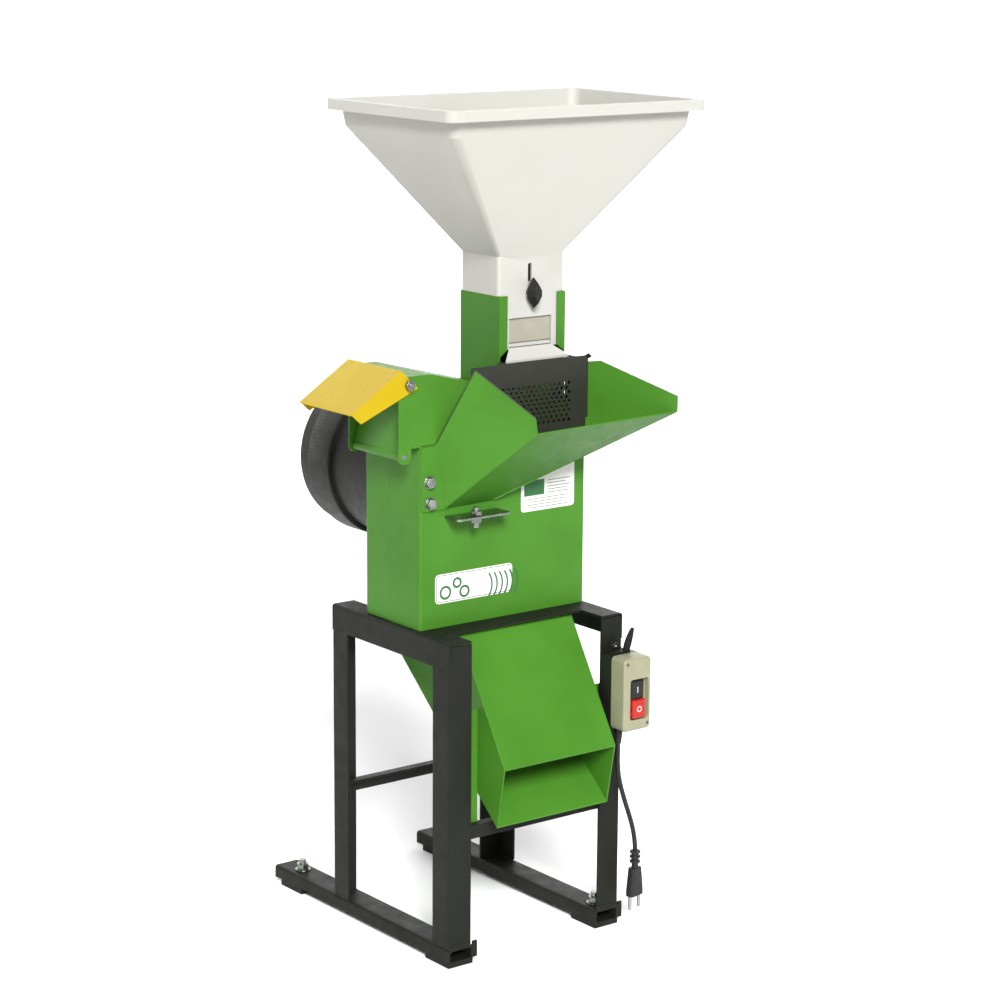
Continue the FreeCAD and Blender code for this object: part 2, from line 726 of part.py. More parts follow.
def gate_knob():
    """A lozenge-shaped clamping knob with its stud and the nut behind the gate."""
    y0 = neck[2] - gate_gap
    back = y0 - 4
    front = back - knob_depth
    half_w, half_h = knob_width / 2, knob_height / 2

    def outline(y, scale):
        corners = [(0, half_h), (half_w, half_h * 0.28), (half_w, -half_h * 0.28), (0, -half_h),
                   (-half_w, -half_h * 0.28), (-half_w, half_h * 0.28)]
        points = [V(stud_x + scale * a, y, stud_z + scale * b) for a, b in corners]
        return Part.makePolygon(points + [points[0]])
    grip = Part.makeLoft([outline(back, 0.86), outline(back - 4, 1.0), outline(front, 0.62)], True, True)
    collar = y_rod(6.5, stud_x, stud_z, back, y0)
    gate_back = neck[2] + funnel_wall + gate_gap + gate_wall
    stud = y_rod(stud_r, stud_x, stud_z, back, gate_back + 8)
    nut = hexagon(10, (stud_x, gate_back + 0.4, stud_z), 1, 5)
    return [fuse([grip, collar, stud, nut])]


# ---- feed hopper ---------------------------------------------------------
def plane_x(a, b, c, y, z):
    """The x at which the plane through a, b and c passes the given y and z."""
    normal = (V(*b) - V(*a)).cross(V(*c) - V(*a))
    return a[0] - (normal.y * (y - a[1]) + normal.z * (z - a[2])) / normal.x


def hopper_corners():
    y0 = housing_front
    rise_floor = mouth_rise * (hopper_floor_right - hopper_floor_left)
    rise_lip = mouth_rise * (lip_right - lip_left)
    c = {
        "floor_left": (hopper_floor_left, y0, hopper_floor_z),
        "floor_right": (hopper_floor_right, y0, hopper_floor_z + rise_floor),
        "lip_left": (lip_left, lip_y, lip_z),
        "lip_right": (lip_right, lip_y, lip_z + rise_lip),
        "fold_top": (flange_fold_x, y0, flange_top),
        "wall_foot": (housing_right, y0, right_wall_foot_z),
        "wall_head": (housing_right + 0.5, y0, wall_top_right[1] - 2),
    }
    left = (c["floor_left"], c["fold_top"], c["lip_left"])
    right = (c["wall_foot"], c["lip_right"], c["wall_head"])
    front_z = lip_z + lip_height
    c["left_front"] = (plane_x(*left, lip_y, front_z), lip_y, front_z)
    y, z = wall_top_left
    c["left_back"] = (plane_x(*left, y, z), y, z)
    front_z += rise_lip
    c["right_front"] = (plane_x(*right, lip_y, front_z), lip_y, front_z)
    y, z = wall_top_right
    c["right_back"] = (plane_x(*right, y, z), y, z)
    return c


def feed_hopper():
    c = hopper_corners()
    inside = ((hopper_floor_left + housing_right) / 2, (lip_y + housing_front) / 2, lip_z + lip_height)
    sheets = (
        ("floor_left", "lip_left", "left_front", "left_back", "fold_top"),
        ("floor_left", "floor_right", "lip_right", "lip_left"),
        ("floor_right", "wall_foot", "lip_right"),
        ("wall_foot", "wall_head", "right_back", "right_front", "lip_right"),
    )
    panels = [panel([c[name] for name in names], hopper_wall, inside) for names in sheets]
    flange = box(flange_left, hopper_floor_left + 6, housing_front - hopper_wall, housing_front,
                 hopper_floor_z, flange_top)
    flange = round_edges(flange, 6, lambda e: e.BoundBox.YLength > 1 and e.BoundBox.XMax < flange_left + 1)
    shape = fuse(panels + [flange])
    shape = shape.cut(box(-400, 400, housing_front, housing_front + 200, stand_top, rim_top))
    shape = shape.cut(box(spout_left, spout_panel_right, housing_front - spout_wall, housing_front,
                          spout_bottom, ridge_z + 20))
    for hole in bolt_holes():
        shape = shape.cut(hole)
    return [shape]


def y_bolt(x, z, face_y):
    """A hexagon bolt with a washer on the face, its nut behind the front shell."""
    inside = housing_front + sheet
    washer = y_tube(washer_r, bolt_r, face_y - 1.6, face_y, x, z)
    head = hexagon(nut_flat, (x, face_y - 1.6 - 5.3, z), 1, 5.3)
    shank = y_rod(bolt_r, x, z, face_y - 1.6, inside + 8)
    nut = hexagon(nut_flat, (x, inside, z), 1, 6.5).cut(y_rod(bolt_r, x, z, inside - 1, inside + 9))
    return [washer, head.fuse(shank), nut]


def hopper_bolts():
    pieces = []
    for x, z in hopper_bolt_places:
        pieces += y_bolt(x, z, housing_front - hopper_wall)
    x, y = rest_bolt
    under = rest_plate[3]
    top = under + rest_wall
    pieces.append(rod(bolt_r, (x, y, under - 13), (x, y, top + 11)))
    for z in (under - 6.5, top):
        pieces.append(hexagon(nut_flat, (x, y, z), 2, 6.5).cut(rod(bolt_r, (x, y, z - 1), (x, y, z + 8))))
    return pieces


def hopper_rest():
    x0, x1, y0, z = rest_plate
    plate = box(x0, x1, y0, housing_front, z, z + rest_wall)
    plate = round_edges(plate, 5, lambda e: vertical(e) and e.BoundBox.YMax < y0 + 1)
    return [plate.cut(rod(bolt_r, (*rest_bolt, z - 1), (*rest_bolt, z + rest_wall + 1)))]


def guard_rails():
    """Two upright channels with a foot that the guard plate stands in."""
    y_front = guard_y - guard_wall - rail_gap - 1.6
    rails = []
    for edge, side, top in ((guard_left, -1, rail_tops[0]), (guard_right, 1, rail_tops[1])):
        outer_x = edge + side * (rail_gap + 1.8)
        inner_x = edge - side * 5
        xs = sorted((outer_x, inner_x))
        body = box(xs[0], xs[1], y_front, housing_front, guard_bottom - 4, top)
        gs = sorted((edge + side * rail_gap, inner_x - side))
        groove = box(gs[0], gs[1], guard_y - guard_wall - rail_gap, guard_y + rail_gap, guard_bottom, top + 1)
        trimmed = body.cut(groove).cut(feed_hopper()[0])
        rails.append(max(trimmed.Solids, key=lambda solid: solid.Volume))
    return rails


def guard_screen():
    """A perforated plate with plain margins and one turned top corner."""
    margin_left, margin_right, margin_top, margin_low = guard_margins
    outline = Part.makePolygon([V(guard_left, guard_y, guard_bottom), V(guard_right, guard_y, guard_bottom),
                                V(guard_right, guard_y, guard_top - 5), V(guard_right - 5, guard_y, guard_top),
                                V(guard_left, guard_y, guard_top), V(guard_left, guard_y, guard_bottom)])
    holes = []
    row = 0
    z = guard_top - margin_top
    while z > guard_bottom + margin_low:
        x = guard_right - margin_right - (guard_pitch / 2 if row % 2 else 0.0)
        while x > guard_left + margin_left:
            circle = Part.makeCircle(guard_hole_r, V(x, guard_y, z), V(0, 1, 0))
            holes.append(Part.Wire([circle]))
            x -= guard_pitch
        row += 1
        z -= guard_row_step
    face = Part.Face([outline] + holes)
    plate = face.extrude(V(0, -guard_wall, 0))
    x, z = guard_right, guard_top
    tab = prism([(x - 5, guard_y, z), (x, guard_y, z - 5), (x + 1.5, guard_y - 7, z - 1), (x - 3.5, guard_y - 7, z + 4)],
                (-0.7, -0.5, -0.7))
    return [fuse([plate, tab])]


# ---- discharge chute -----------------------------------------------------
def discharge_chute():
    top = stand_top - angle_wall
    outline = [(chute_back_y, top), (chute_front_y, top), outlet_top, outlet_bottom, (chute_back_y, chute_back_z)]
    outer = prism_yz(outline, chute_left, chute_right)
    inner_outline = offset_outline(outline, [-1.0, chute_wall, -1.0, chute_wall, chute_wall])
    inner = prism_yz(inner_outline, chute_left + chute_wall, chute_right - chute_wall)
    return [outer.cut(inner)]


def chute_brackets():
    """Side plates that stand on the front lower bar and meet the chute's walls."""
    bottom = lower_bar_bottom + lower_bar_height
    pieces = []
    for wall_x, side in ((chute_left, -1), (chute_right, 1)):
        leg_x = side * (stand_half_x - angle_width + 12)
        xs = sorted((wall_x, leg_x))
        plate = box(xs[0], xs[1], bracket_y, bracket_y + bracket_wall, bottom, bracket_top)
        pieces.append(plate)
    return pieces


# ---- rotor ---------------------------------------------------------------
motor_front = housing_back
motor_shell_end = motor_front + motor_flange_wall + motor_shell_length
motor_ring_end = motor_shell_end + motor_ring_length
motor_bell_start = motor_ring_end + motor_groove
motor_end = motor_bell_start + motor_bell_length
front_bearing_y = motor_front + 2.0
rear_bearing_y = motor_bell_start + 4.0
pin_angles = [90 + 360 / pin_count * i for i in range(pin_count)]


def rotor_shaft():
    main = y_rod(shaft_r, rotor_x, rotor_z, shaft_front, rear_bearing_y + bearing_width)
    nut = hexagon(30, (rotor_x, shaft_front - 8, rotor_z), 1, 8)
    return [main.fuse(nut)]


def rotor_discs():
    pieces = []
    for y in (front_disc_y - disc_wall, rear_disc_y):
        disc = y_tube(disc_r, shaft_r, y, y + disc_wall)
        for angle in pin_angles:
            p = polar(pin_circle_r, angle, 0)
            disc = disc.cut(y_rod(pin_r, p.x, p.z, y - 1, y + disc_wall + 1))
        pieces.append(disc)
    pieces.append(y_tube(hub_r, shaft_r, front_disc_y, rear_disc_y))
    return pieces


def hammer_pins():
    pins = []
    for angle in pin_angles:
        p = polar(pin_circle_r, angle, 0)
        pins.append(y_rod(pin_r, p.x, p.z, front_disc_y - disc_wall, rear_disc_y + disc_wall))
    return pins


def hammer_set(angle):
    """The hammers and spacers on one pin, hanging straight out from the shaft."""
    p = polar(pin_circle_r, angle, 0)
    bore = y_rod(pin_r + running_gap, p.x, p.z, front_disc_y - 1, rear_disc_y + 1)
    length = rear_disc_y - front_disc_y - 1.0
    pitch = length / hammer_count
    half = hammer_width / 2
    pieces = []
    for i in range(hammer_count):
        y0 = front_disc_y + 0.5 + pitch * i
        plate = box(rotor_x + pin_circle_r - 14, rotor_x + hammer_tip_r, y0, y0 + hammer_wall,
                    rotor_z - half, rotor_z + half)
        plate = round_edges(plate, 12, lambda e: e.BoundBox.YLength > 1 and e.BoundBox.XMax < rotor_x + pin_circle_r)
        plate.rotate(V(rotor_x, 0, rotor_z), V(0, 1, 0), -angle)
        pieces.append(plate.cut(bore))
        spacer = y_rod(10, p.x, p.z, y0 + hammer_wall, y0 + pitch)
        pieces.append(spacer.cut(bore))
    return pieces


def rotor_knives():
    y1 = front_disc_y - disc_wall
    pieces = []
    for i in range(knife_count):
        turn = 30 + 360 / knife_count * i
        blade = prism([(rotor_x + knife_root_r, y1, rotor_z), (rotor_x + knife_tip_r, y1, rotor_z),
                       (rotor_x + knife_tip_r, y1, rotor_z + knife_width),
                       (rotor_x + knife_root_r, y1, rotor_z + knife_width)], (0, -knife_wall, 0))
        bevel = prism_yz([(y1, rotor_z - 1), (y1, rotor_z + 0.2), (y1 - knife_wall - 1, rotor_z + 12),
                          (y1 - knife_wall - 1, rotor_z - 1)], rotor_x, rotor_x + 200)
        blade = blade.cut(bevel)
        for r in (48, 78):
            blade = blade.cut(y_rod(4, rotor_x + r, rotor_z + 26, y1 - 20, y1 + 1))
            screw = y_rod(4, rotor_x + r, rotor_z + 26, y1 - knife_wall, y1)
            screw.rotate(V(rotor_x, 0, rotor_z), V(0, 1, 0), -turn)
            pieces.append(screw)
        blade.rotate(V(rotor_x, 0, rotor_z), V(0, 1, 0), -turn)
        pieces.append(blade)
    return pieces


# ---- motor ---------------------------------------------------------------
def motor_flange():
    y0, y1 = motor_front, motor_front + motor_flange_wall
    flange = y_tube(motor_r, shaft_r + 4, y0, y1)
    return [flange.cut(y_rod(bearing_r, rotor_x, rotor_z, front_bearing_y, y1 + 1))]


def motor_shell():
    return [y_tube(motor_r, motor_r - motor_wall, motor_front + motor_flange_wall, motor_shell_end)]


def motor_rear_ring():
    ring = y_tube(motor_ring_r, motor_r - motor_wall, motor_shell_end, motor_ring_end)
    outer_edges = [e for e in ring.Edges if abs(e.BoundBox.XLength - 2 * motor_ring_r) < 0.1]
    return [ring.makeFillet(2.0, [e for e in outer_edges if e.BoundBox.YLength < 0.1])]


def motor_end_bell():
    groove = y_tube(motor_bell_r - 3, motor_r - motor_wall, motor_ring_end, motor_bell_start)
    wall = y_tube(motor_bell_r, motor_r - motor_wall, motor_bell_start, motor_end)
    end = y_rod(motor_bell_r, rotor_x, rotor_z, motor_end - 4, motor_end)
    boss = y_rod(bearing_r + 7, rotor_x, rotor_z, rear_bearing_y, motor_end)
    shape = fuse([groove, wall, end, boss])
    shape = shape.cut(y_rod(bearing_r, rotor_x, rotor_z, rear_bearing_y - 5, rear_bearing_y + bearing_width))
    rim = [e for e in shape.Edges if abs(e.BoundBox.YMax - motor_end) < 0.1
           and abs(e.BoundBox.XLength - 2 * motor_bell_r) < 0.1]
    shape = shape.makeFillet(6.0, rim)
    vents = []
    for i in range(18):
        for r0, r1 in ((44, 64), (72, 90)):
            vent = box(rotor_x + r0, rotor_x + r1, motor_end - 8, motor_end + 2, rotor_z - 3, rotor_z + 3)
            vent.rotate(V(rotor_x, 0, rotor_z), V(0, 1, 0), 20.0 * i)
            vents.append(vent)
    return [shape.cut(Part.makeCompound(vents))]


def motor_screws():
    y = (motor_ring_end + motor_bell_start) / 2
    screws = []
    for i in range(motor_screw_count):
        angle = 360.0 / motor_screw_count * (i + 0.5)
        screws.append(rod(1.9, polar(motor_bell_r - 3.05, angle, y), polar(motor_bell_r + 0.5, angle, y)))
    groove_face = y_rod(motor_bell_r - 3, rotor_x, rotor_z, motor_ring_end - 1, motor_bell_start + 1)
    return [s.cut(groove_face) for s in screws]


def stator_core():
    y0 = motor_front + motor_flange_wall + 25
    core = y_tube(motor_r - motor_wall, stator_bore_r, y0, y0 + 80)
    coils = [y_tube(motor_r - 17, stator_bore_r + 6, a, b) for a, b in ((y0 - 18, y0), (y0 + 80, y0 + 98))]
    return [core] + coils


def motor_rotor():
    y0 = motor_front + motor_flange_wall + 23
    return [y_tube(stator_bore_r - rotor_core_gap, shaft_r, y0, y0 + 84)]


def cooling_fan():
    y0 = motor_shell_end + 14
    hub = y_tube(24, shaft_r, y0, y0 + 24)
    blades = [hub]
    for i in range(7):
        blade = box(rotor_x + 20, rotor_x + motor_r - 15, y0, y0 + 24, rotor_z - 1.5, rotor_z + 1.5)
        blade.rotate(V(rotor_x, 0, rotor_z), V(0, 1, 0), 360.0 / 7 * i)
        blades.append(blade)
    web = y_tube(70, shaft_r, y0, y0 + 3)
    return [fuse(blades + [web])]


def motor_bearings():
    return [y_tube(bearing_r, shaft_r + running_gap, y, y + bearing_width)
            for y in (front_bearing_y, rear_bearing_y)]


# ---- hood and flap -------------------------------------------------------
def discharge_hood():
    """A sloping top with a side plate down each side of the spout."""
    y_front = housing_front - spout_wall - hood_clear - hood_wall
    y_back = spout_back + hood_clear + hood_wall
    profile = list(hood_profile)
    (ax, az), (bx, bz) = profile[0], profile[3]
    length = hypot(bx - ax, bz - az)
    nx, nz = -(bz - az) / length * -hood_wall, (bx - ax) / length * hood_wall
    top = prism_xz([(ax, az), (bx, bz), (bx + nx, bz + nz), (ax + nx, az + nz)], y_front, y_back)
    sides = []
    for y0 in (y_front, y_back - hood_wall):
        side = prism_xz(profile, y0, y0 + hood_wall)
        sides.append(side.cut(y_rod(hood_bolt_r + running_gap, *hood_pivot, y0 - 1, y0 + hood_wall + 1)))
    return [fuse([top] + sides)]


def hood_bolts():
    x, z = hood_pivot
    pieces = []
    for face, out in ((housing_front - spout_wall, -1), (spout_back, 1)):
        plate = face + out * (hood_clear + hood_wall)
        inside = face - out * spout_wall
        shank = y_rod(hood_bolt_r, x, z, *sorted((inside - out * 6, plate + out * 7)))
        inner_nut = hexagon(nut_flat, (x, min(inside, inside - out * 5), z), 1, 5)
        outer_nut = hexagon(nut_flat, (x, min(plate + out * 0.4, plate + out * 5.4), z), 1, 5)
        pieces.append(fuse([shank, inner_nut, outer_nut]))
    return pieces


def outlet_flap():
    """A plate rolled round the rod at its foot, leaning into the spout."""
    x, z = flap_rod
    y0 = housing_front + flap_side_gap
    y1 = spout_back - spout_wall - flap_side_gap
    roll_r = flap_rod_r + flap_roll_wall
    roll = y_rod(roll_r, x, z, y0, y1)
    plate = box(x - flap_roll_wall / 2 - 3, x + flap_roll_wall / 2 - 3, y0, y1, z, z + flap_reach)
    stiffener = box(x - 3 - 5, x - 3, y0 + 12, y1 - 12, z + flap_reach - 22, z + flap_reach - 20)
    flap = fuse([roll, plate, stiffener]).cut(y_rod(flap_rod_r + running_gap, x, z, y0 - 1, y1 + 1))
    flap.rotate(V(x, 0, z), V(0, 1, 0), flap_lean)
    return [flap]


# ---- switch, lead and plug ----------------------------------------------
leg_face = stand_front
base_front = leg_face - base_depth
cover_front = base_front - cover_depth
switch_right = switch_left + switch_width
switch_top = switch_bottom + switch_height
button_back = cover_front + recess_depth
bracket_bolt_place = (switch_left + 21, switch_top + 8)


def switch_box(y0, y1, r):
    body = box(switch_left, switch_right, y0, y1, switch_bottom, switch_top)
    return round_edges(body, r, lambda e: e.BoundBox.YLength > 5)


def cord_exit():
    """The lead's way out, half in the base and half in the cover."""
    return rod(cord_r, (cord_x, cord_y, switch_bottom - 5), (cord_x, cord_y, switch_bottom + 5))


def switch_base():
    body = switch_box(base_front, leg_face, 4.0)
    hollow = box(switch_left + 2.5, switch_right - 2.5, base_front - 1, leg_face - 2.5,
                 switch_bottom + 2.5, switch_top - 2.5)
    return [body.cut(hollow).cut(cord_exit())]


def button_openings():
    """The two guide openings through the recess floor, with sliding room all round."""
    g = button_gap
    low = box(button_left - g, button_right + g, button_back - 20, button_back + 60,
              recess[2] + button_margin - g, button_split - 0.2 + g)
    high = box(button_left - g, button_right + g, button_back - 20, button_back + 60,
               button_split + 0.2 - g, recess[3] - button_margin + g)
    return low.fuse(high)


def switch_cover():
    body = switch_box(cover_front, base_front, 6.0)
    front_rim = [e for e in body.Edges if abs(e.BoundBox.YMax - cover_front) < 0.05]
    body = body.makeFillet(3.0, front_rim)
    hollow = box(switch_left + 2.5, switch_right - 2.5, button_back + 2.5, base_front + 1,
                 switch_bottom + 2.5, switch_top - 2.5)
    x0, x1, z0, z1 = recess
    pocket = box(x0, x1, cover_front - 1, button_back, z0, z1)
    pocket = round_edges(pocket, 4, lambda e: e.BoundBox.YLength > 5)
    body = body.cut(hollow).cut(pocket).cut(button_openings()).cut(cord_exit())
    for x, z in cover_screw_places:
        body = body.cut(y_rod(2.6, x, z, cover_front - 1, base_front + 1))
    return [body]


cover_screw_places = ((switch_left + 6, switch_top - 7), (switch_right - 6, switch_bottom + 8))


def cover_screws():
    screws = []
    for x, z in cover_screw_places:
        head = y_rod(2.6, x, z, cover_front + 1.2, cover_front + 4)
        shank = y_rod(1.6, x, z, cover_front + 4, base_front)
        cut = box(x - 3, x + 3, cover_front, cover_front + 2.2, z - 0.5, z + 0.5)
        screws.append(fuse([head, shank]).cut(cut))
    return screws


def switch_block():
    """The contact block behind the buttons."""
    y0 = button_back + 2.5 + button_travel + 4
    return [box(switch_left + 8, switch_right - 8, y0, base_front + base_depth - 3, recess[2], recess[3])]


def button(z0, z1, proud):
    front = cover_front - proud + 4
    back = button_back + 2.5 + 2.5
    cap = box(button_left, button_right, front, back, z0, z1)
    cap = round_edges(cap, 2.0, lambda e: abs(e.BoundBox.YMax - front) < 0.05)
    flange = box(button_left - 1.5, button_right + 1.5, button_back + 2.6, back, z0, z1)
    return [fuse([cap, flange])]


def on_button():
    return button(button_split + 0.2, recess[3] - button_margin, on_button_proud)


def off_button():
    return button(recess[2] + button_margin, button_split - 0.2, off_button_proud)


def switch_bracket():
    """A rounded ear on the leg, a tab over the box and an upturned cord hook."""
    y1, y0 = leg_face, leg_face - 3.0
    x = switch_left + 20
    bolt_x, bolt_z = bracket_bolt_place
    ear_plate = fuse([box(x - 16, x + 13, y0, y1, switch_top, switch_top + 5),
                      box(bolt_x - bracket_ear_r, bolt_x + bracket_ear_r, y0, y1, switch_top, bolt_z),
                      y_rod(bracket_ear_r, bolt_x, bolt_z, y0, y1)])
    tab = box(x - 16, x + 16, y0 - 16, y1, switch_top, switch_top + 2)
    hook_y = y0 - 16
    outline = [V(x + 4, hook_y, switch_top + 1), V(x + 14, hook_y, switch_top + 1)]
    inner = Part.Arc(outline[0], V(x + 9, hook_y, switch_top + 18), V(x + 17.5, hook_y, switch_top + 31.5)).toShape()
    cap = Part.Arc(inner.Vertexes[-1].Point, V(x + 20.5, hook_y, switch_top + 32.2),
                   V(x + 21.5, hook_y, switch_top + 29)).toShape()
    outer = Part.Arc(cap.Vertexes[-1].Point, V(x + 18.5, hook_y, switch_top + 14), outline[1]).toShape()
    wire = Part.Wire([Part.makeLine(outline[1], outline[0]), inner, cap, outer])
    hook = Part.Face(wire).extrude(V(0, 3.0, 0))
    shape = fuse([ear_plate, tab, hook])
    return [shape.cut(y_rod(bracket_bolt_r, bolt_x, bolt_z, y0 - 1, y1 + 1))]


def bracket_bolt():
    x, z = bracket_bolt_place
    y0 = leg_face - 3.0
    head = y_rod(4.2, x, z, y0 - 3, y0)
    shank = y_rod(bracket_bolt_r, x, z, y0, leg_face + angle_wall + 6)
    nut = hexagon(8, (x, leg_face + angle_wall, z), 1, 4)
    nut = nut.cut(y_rod(bracket_bolt_r, x, z, leg_face, leg_face + 12))
    socket = hexagon(3.6, (x, y0 - 4, z), 1, 2.5)
    return [fuse([head, shank]).cut(socket), nut]


def cord_gland():
    """A tapered sleeve along the lead's first straight run."""
    along = V(*cord_route[1]) - V(*cord_route[0])
    along.normalize()
    start = V(*cord_route[0]) + along * gland_start
    end = start + along * gland_length
    cone = Part.makeCone(cord_r + 3.2, cord_r + 1.2, gland_length, start, along)
    return [cone.cut(rod(cord_r, tuple(start), tuple(end)))]


def cord_path():
    """Straight runs joined by tangent arcs, from the switch's underside to the plug."""
    points = [V(*p) for p in cord_route]
    edges = []
    radii = []
    start = points[0]
    for before, corner, after in zip(points, points[1:], points[2:]):
        a, b = before - corner, after - corner
        turn = pi - a.getAngle(b)
        reach = 0.45 * min(a.Length, b.Length)
        radius = reach / tan(turn / 2)
        radii.append(radius)
        a.normalize()
        b.normalize()
        enter, leave = corner + a * reach, corner + b * reach
        bisector = a + b
        bisector.normalize()
        middle = corner + bisector * (radius / cos(turn / 2) - radius)
        edges.append(Part.LineSegment(start, enter).toShape())
        edges.append(Part.Arc(enter, middle, leave).toShape())
        start = leave
    edges.append(Part.LineSegment(start, points[-1]).toShape())
    return Part.Wire(edges), radii


def power_cord():
    wire, radii = cord_path()
    start = wire.Edges[0]
    direction = start.tangentAt(start.FirstParameter)
    section = Part.Wire([Part.makeCircle(cord_r, start.Vertexes[0].Point, direction)])
    solid = wire.makePipeShell([section], True, False)
    print("cord radii", [round(r) for r in radii], "length", round(wire.Length, 1),
          "volume ratio", round(solid.Volume / (wire.Length * pi * cord_r ** 2), 4))
    return [solid]


def turned_plug(shape):
    x, y, _ = cord_route[-1]
    shape.rotate(V(x, y, 0), V(0, 0, 1), plug_turn)
    return shape


def plug_section(z, half_x, half_y, r):
    x, y, _ = cord_route[-1]
    return rounded_rectangle(x - half_x, x + half_x, y - half_y, y + half_y, z, r)


def plug_body():
    x, y, top = cord_route[-1]
    shoulder = top - plug_rib_length
    end = shoulder - plug_body_length
    body = loft([plug_section(end, 13, 6.5, 4), plug_section(end + 8, 13, 6.5, 4), plug_section(shoulder, 9, 6.2, 4)])
    core = rod(4.6, (x, y, shoulder), (x, y, top))
    ribs = [rod(7.4, (x, y, z), (x, y, z + 3.2)) for z in (top - 3.2, top - 10, top - 17)]
    return [turned_plug(fuse([body, core] + ribs))]


def plug_pins():
    x, y, top = cord_route[-1]
    end = top - plug_rib_length - plug_body_length
    half = plug_pin_pitch / 2
    return [turned_plug(rod(plug_pin_r, (x + s * half, y, end - pin_length), (x + s * half, y, end)))
            for s in (-1, 1)]


# ---- label plates --------------------------------------------------------
def label_plates():
    """Thin plates on the housing's front: a badge, and a rating plate cut along the hopper."""
    c = hopper_corners()
    slope = atan2(c["wall_foot"][2] - c["floor_right"][2], c["wall_foot"][0] - c["floor_right"][0])
    plates = []
    for x0, x1, z0, z1, r in (badge_plate, rating_plate):
        plate = box(x0, x1, housing_front - label_wall, housing_front, z0, z1)
        plate = round_edges(plate, r, lambda e: e.BoundBox.YLength > label_wall / 2)
        x, z = c["floor_right"][0], c["floor_right"][2] - label_clear / cos(slope)
        above = prism_xz([(x, z), (x + 400, z + 400 * tan(slope)), (x + 400, z + 600), (x, z + 600)],
                         housing_front - 5, housing_front + 5)
        plates.append(plate.cut(above))
    return plates


def main():
    os.makedirs("parts", exist_ok=True)
    builders = [
        legs, top_rails, cross_plates, lower_bars, skids, foot_pads, foot_bolts, foot_nuts,
        housing_front_shell, housing_rear_shell, housing_roof, outlet_spout, flap_rod_pin,
        counter_knife, sieve, grain_duct, grain_cheeks, grain_funnel, gate_plate, gate_knob, feed_hopper,
        hopper_bolts, hopper_rest, guard_rails, guard_screen, discharge_chute, chute_brackets,
        rotor_shaft, rotor_discs, hammer_pins, rotor_knives, motor_flange, motor_shell,
        motor_rear_ring, motor_end_bell, motor_screws, stator_core, motor_rotor, cooling_fan,
        motor_bearings, discharge_hood, hood_bolts, outlet_flap, switch_base, switch_cover,
        cover_screws, switch_block, on_button, off_button, switch_bracket, bracket_bolt,
        cord_gland, power_cord, plug_body, plug_pins, label_plates,
    ]
    nodes = {builder.__name__: builder() for builder in builders}
    for number, angle in enumerate(pin_angles, 1):
        nodes[f"hammer_set_{number}"] = hammer_set(angle)
    for name, shapes in nodes.items():
        solids = [solid for shape in shapes for solid in shape.Solids]
        whole = solids[0] if len(solids) == 1 else Part.makeCompound(solids)
        if not whole.isValid() or len(solids) != sum(1 for _ in shapes):
            print("look at", name, "solids", len(solids), "shapes", len(shapes), "valid", whole.isValid())
        whole.exportStep(f"parts/{name}.step")
    print(len(nodes), "nodes written")


main()
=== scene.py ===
import json
from math import cos, pi, radians, sin

import bmesh
import bpy
from mathutils import Matrix, Vector


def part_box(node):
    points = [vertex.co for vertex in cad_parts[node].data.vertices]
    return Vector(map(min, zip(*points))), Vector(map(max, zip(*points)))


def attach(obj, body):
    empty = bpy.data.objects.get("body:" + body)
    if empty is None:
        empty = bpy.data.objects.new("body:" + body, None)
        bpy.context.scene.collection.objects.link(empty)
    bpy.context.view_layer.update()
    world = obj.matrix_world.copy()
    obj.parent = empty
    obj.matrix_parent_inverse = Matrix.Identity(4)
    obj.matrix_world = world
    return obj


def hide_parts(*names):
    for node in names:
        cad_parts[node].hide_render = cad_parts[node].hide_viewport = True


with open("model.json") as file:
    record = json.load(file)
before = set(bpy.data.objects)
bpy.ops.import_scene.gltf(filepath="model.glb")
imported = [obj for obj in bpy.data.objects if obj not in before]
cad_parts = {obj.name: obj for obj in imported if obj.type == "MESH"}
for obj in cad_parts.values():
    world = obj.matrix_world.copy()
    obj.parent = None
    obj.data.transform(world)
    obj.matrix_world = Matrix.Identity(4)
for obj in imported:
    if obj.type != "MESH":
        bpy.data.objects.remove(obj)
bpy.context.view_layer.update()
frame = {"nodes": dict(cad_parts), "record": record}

nodes = frame["nodes"]
record = frame["record"]
body_of = {node: body for body, members in record["behaviour"]["bodies"].items() for node in members}
slot_of = {part["node"]: part["material_slot"] for part in record["subparts"]}
MM = 0.001


# ---- materials -----------------------------------------------------------
ORANGE_PEEL = 0.00006       # depth of the paint's texture, in metres
SHEET_WAVE = 0.0004         # depth of the sheet's slow waves


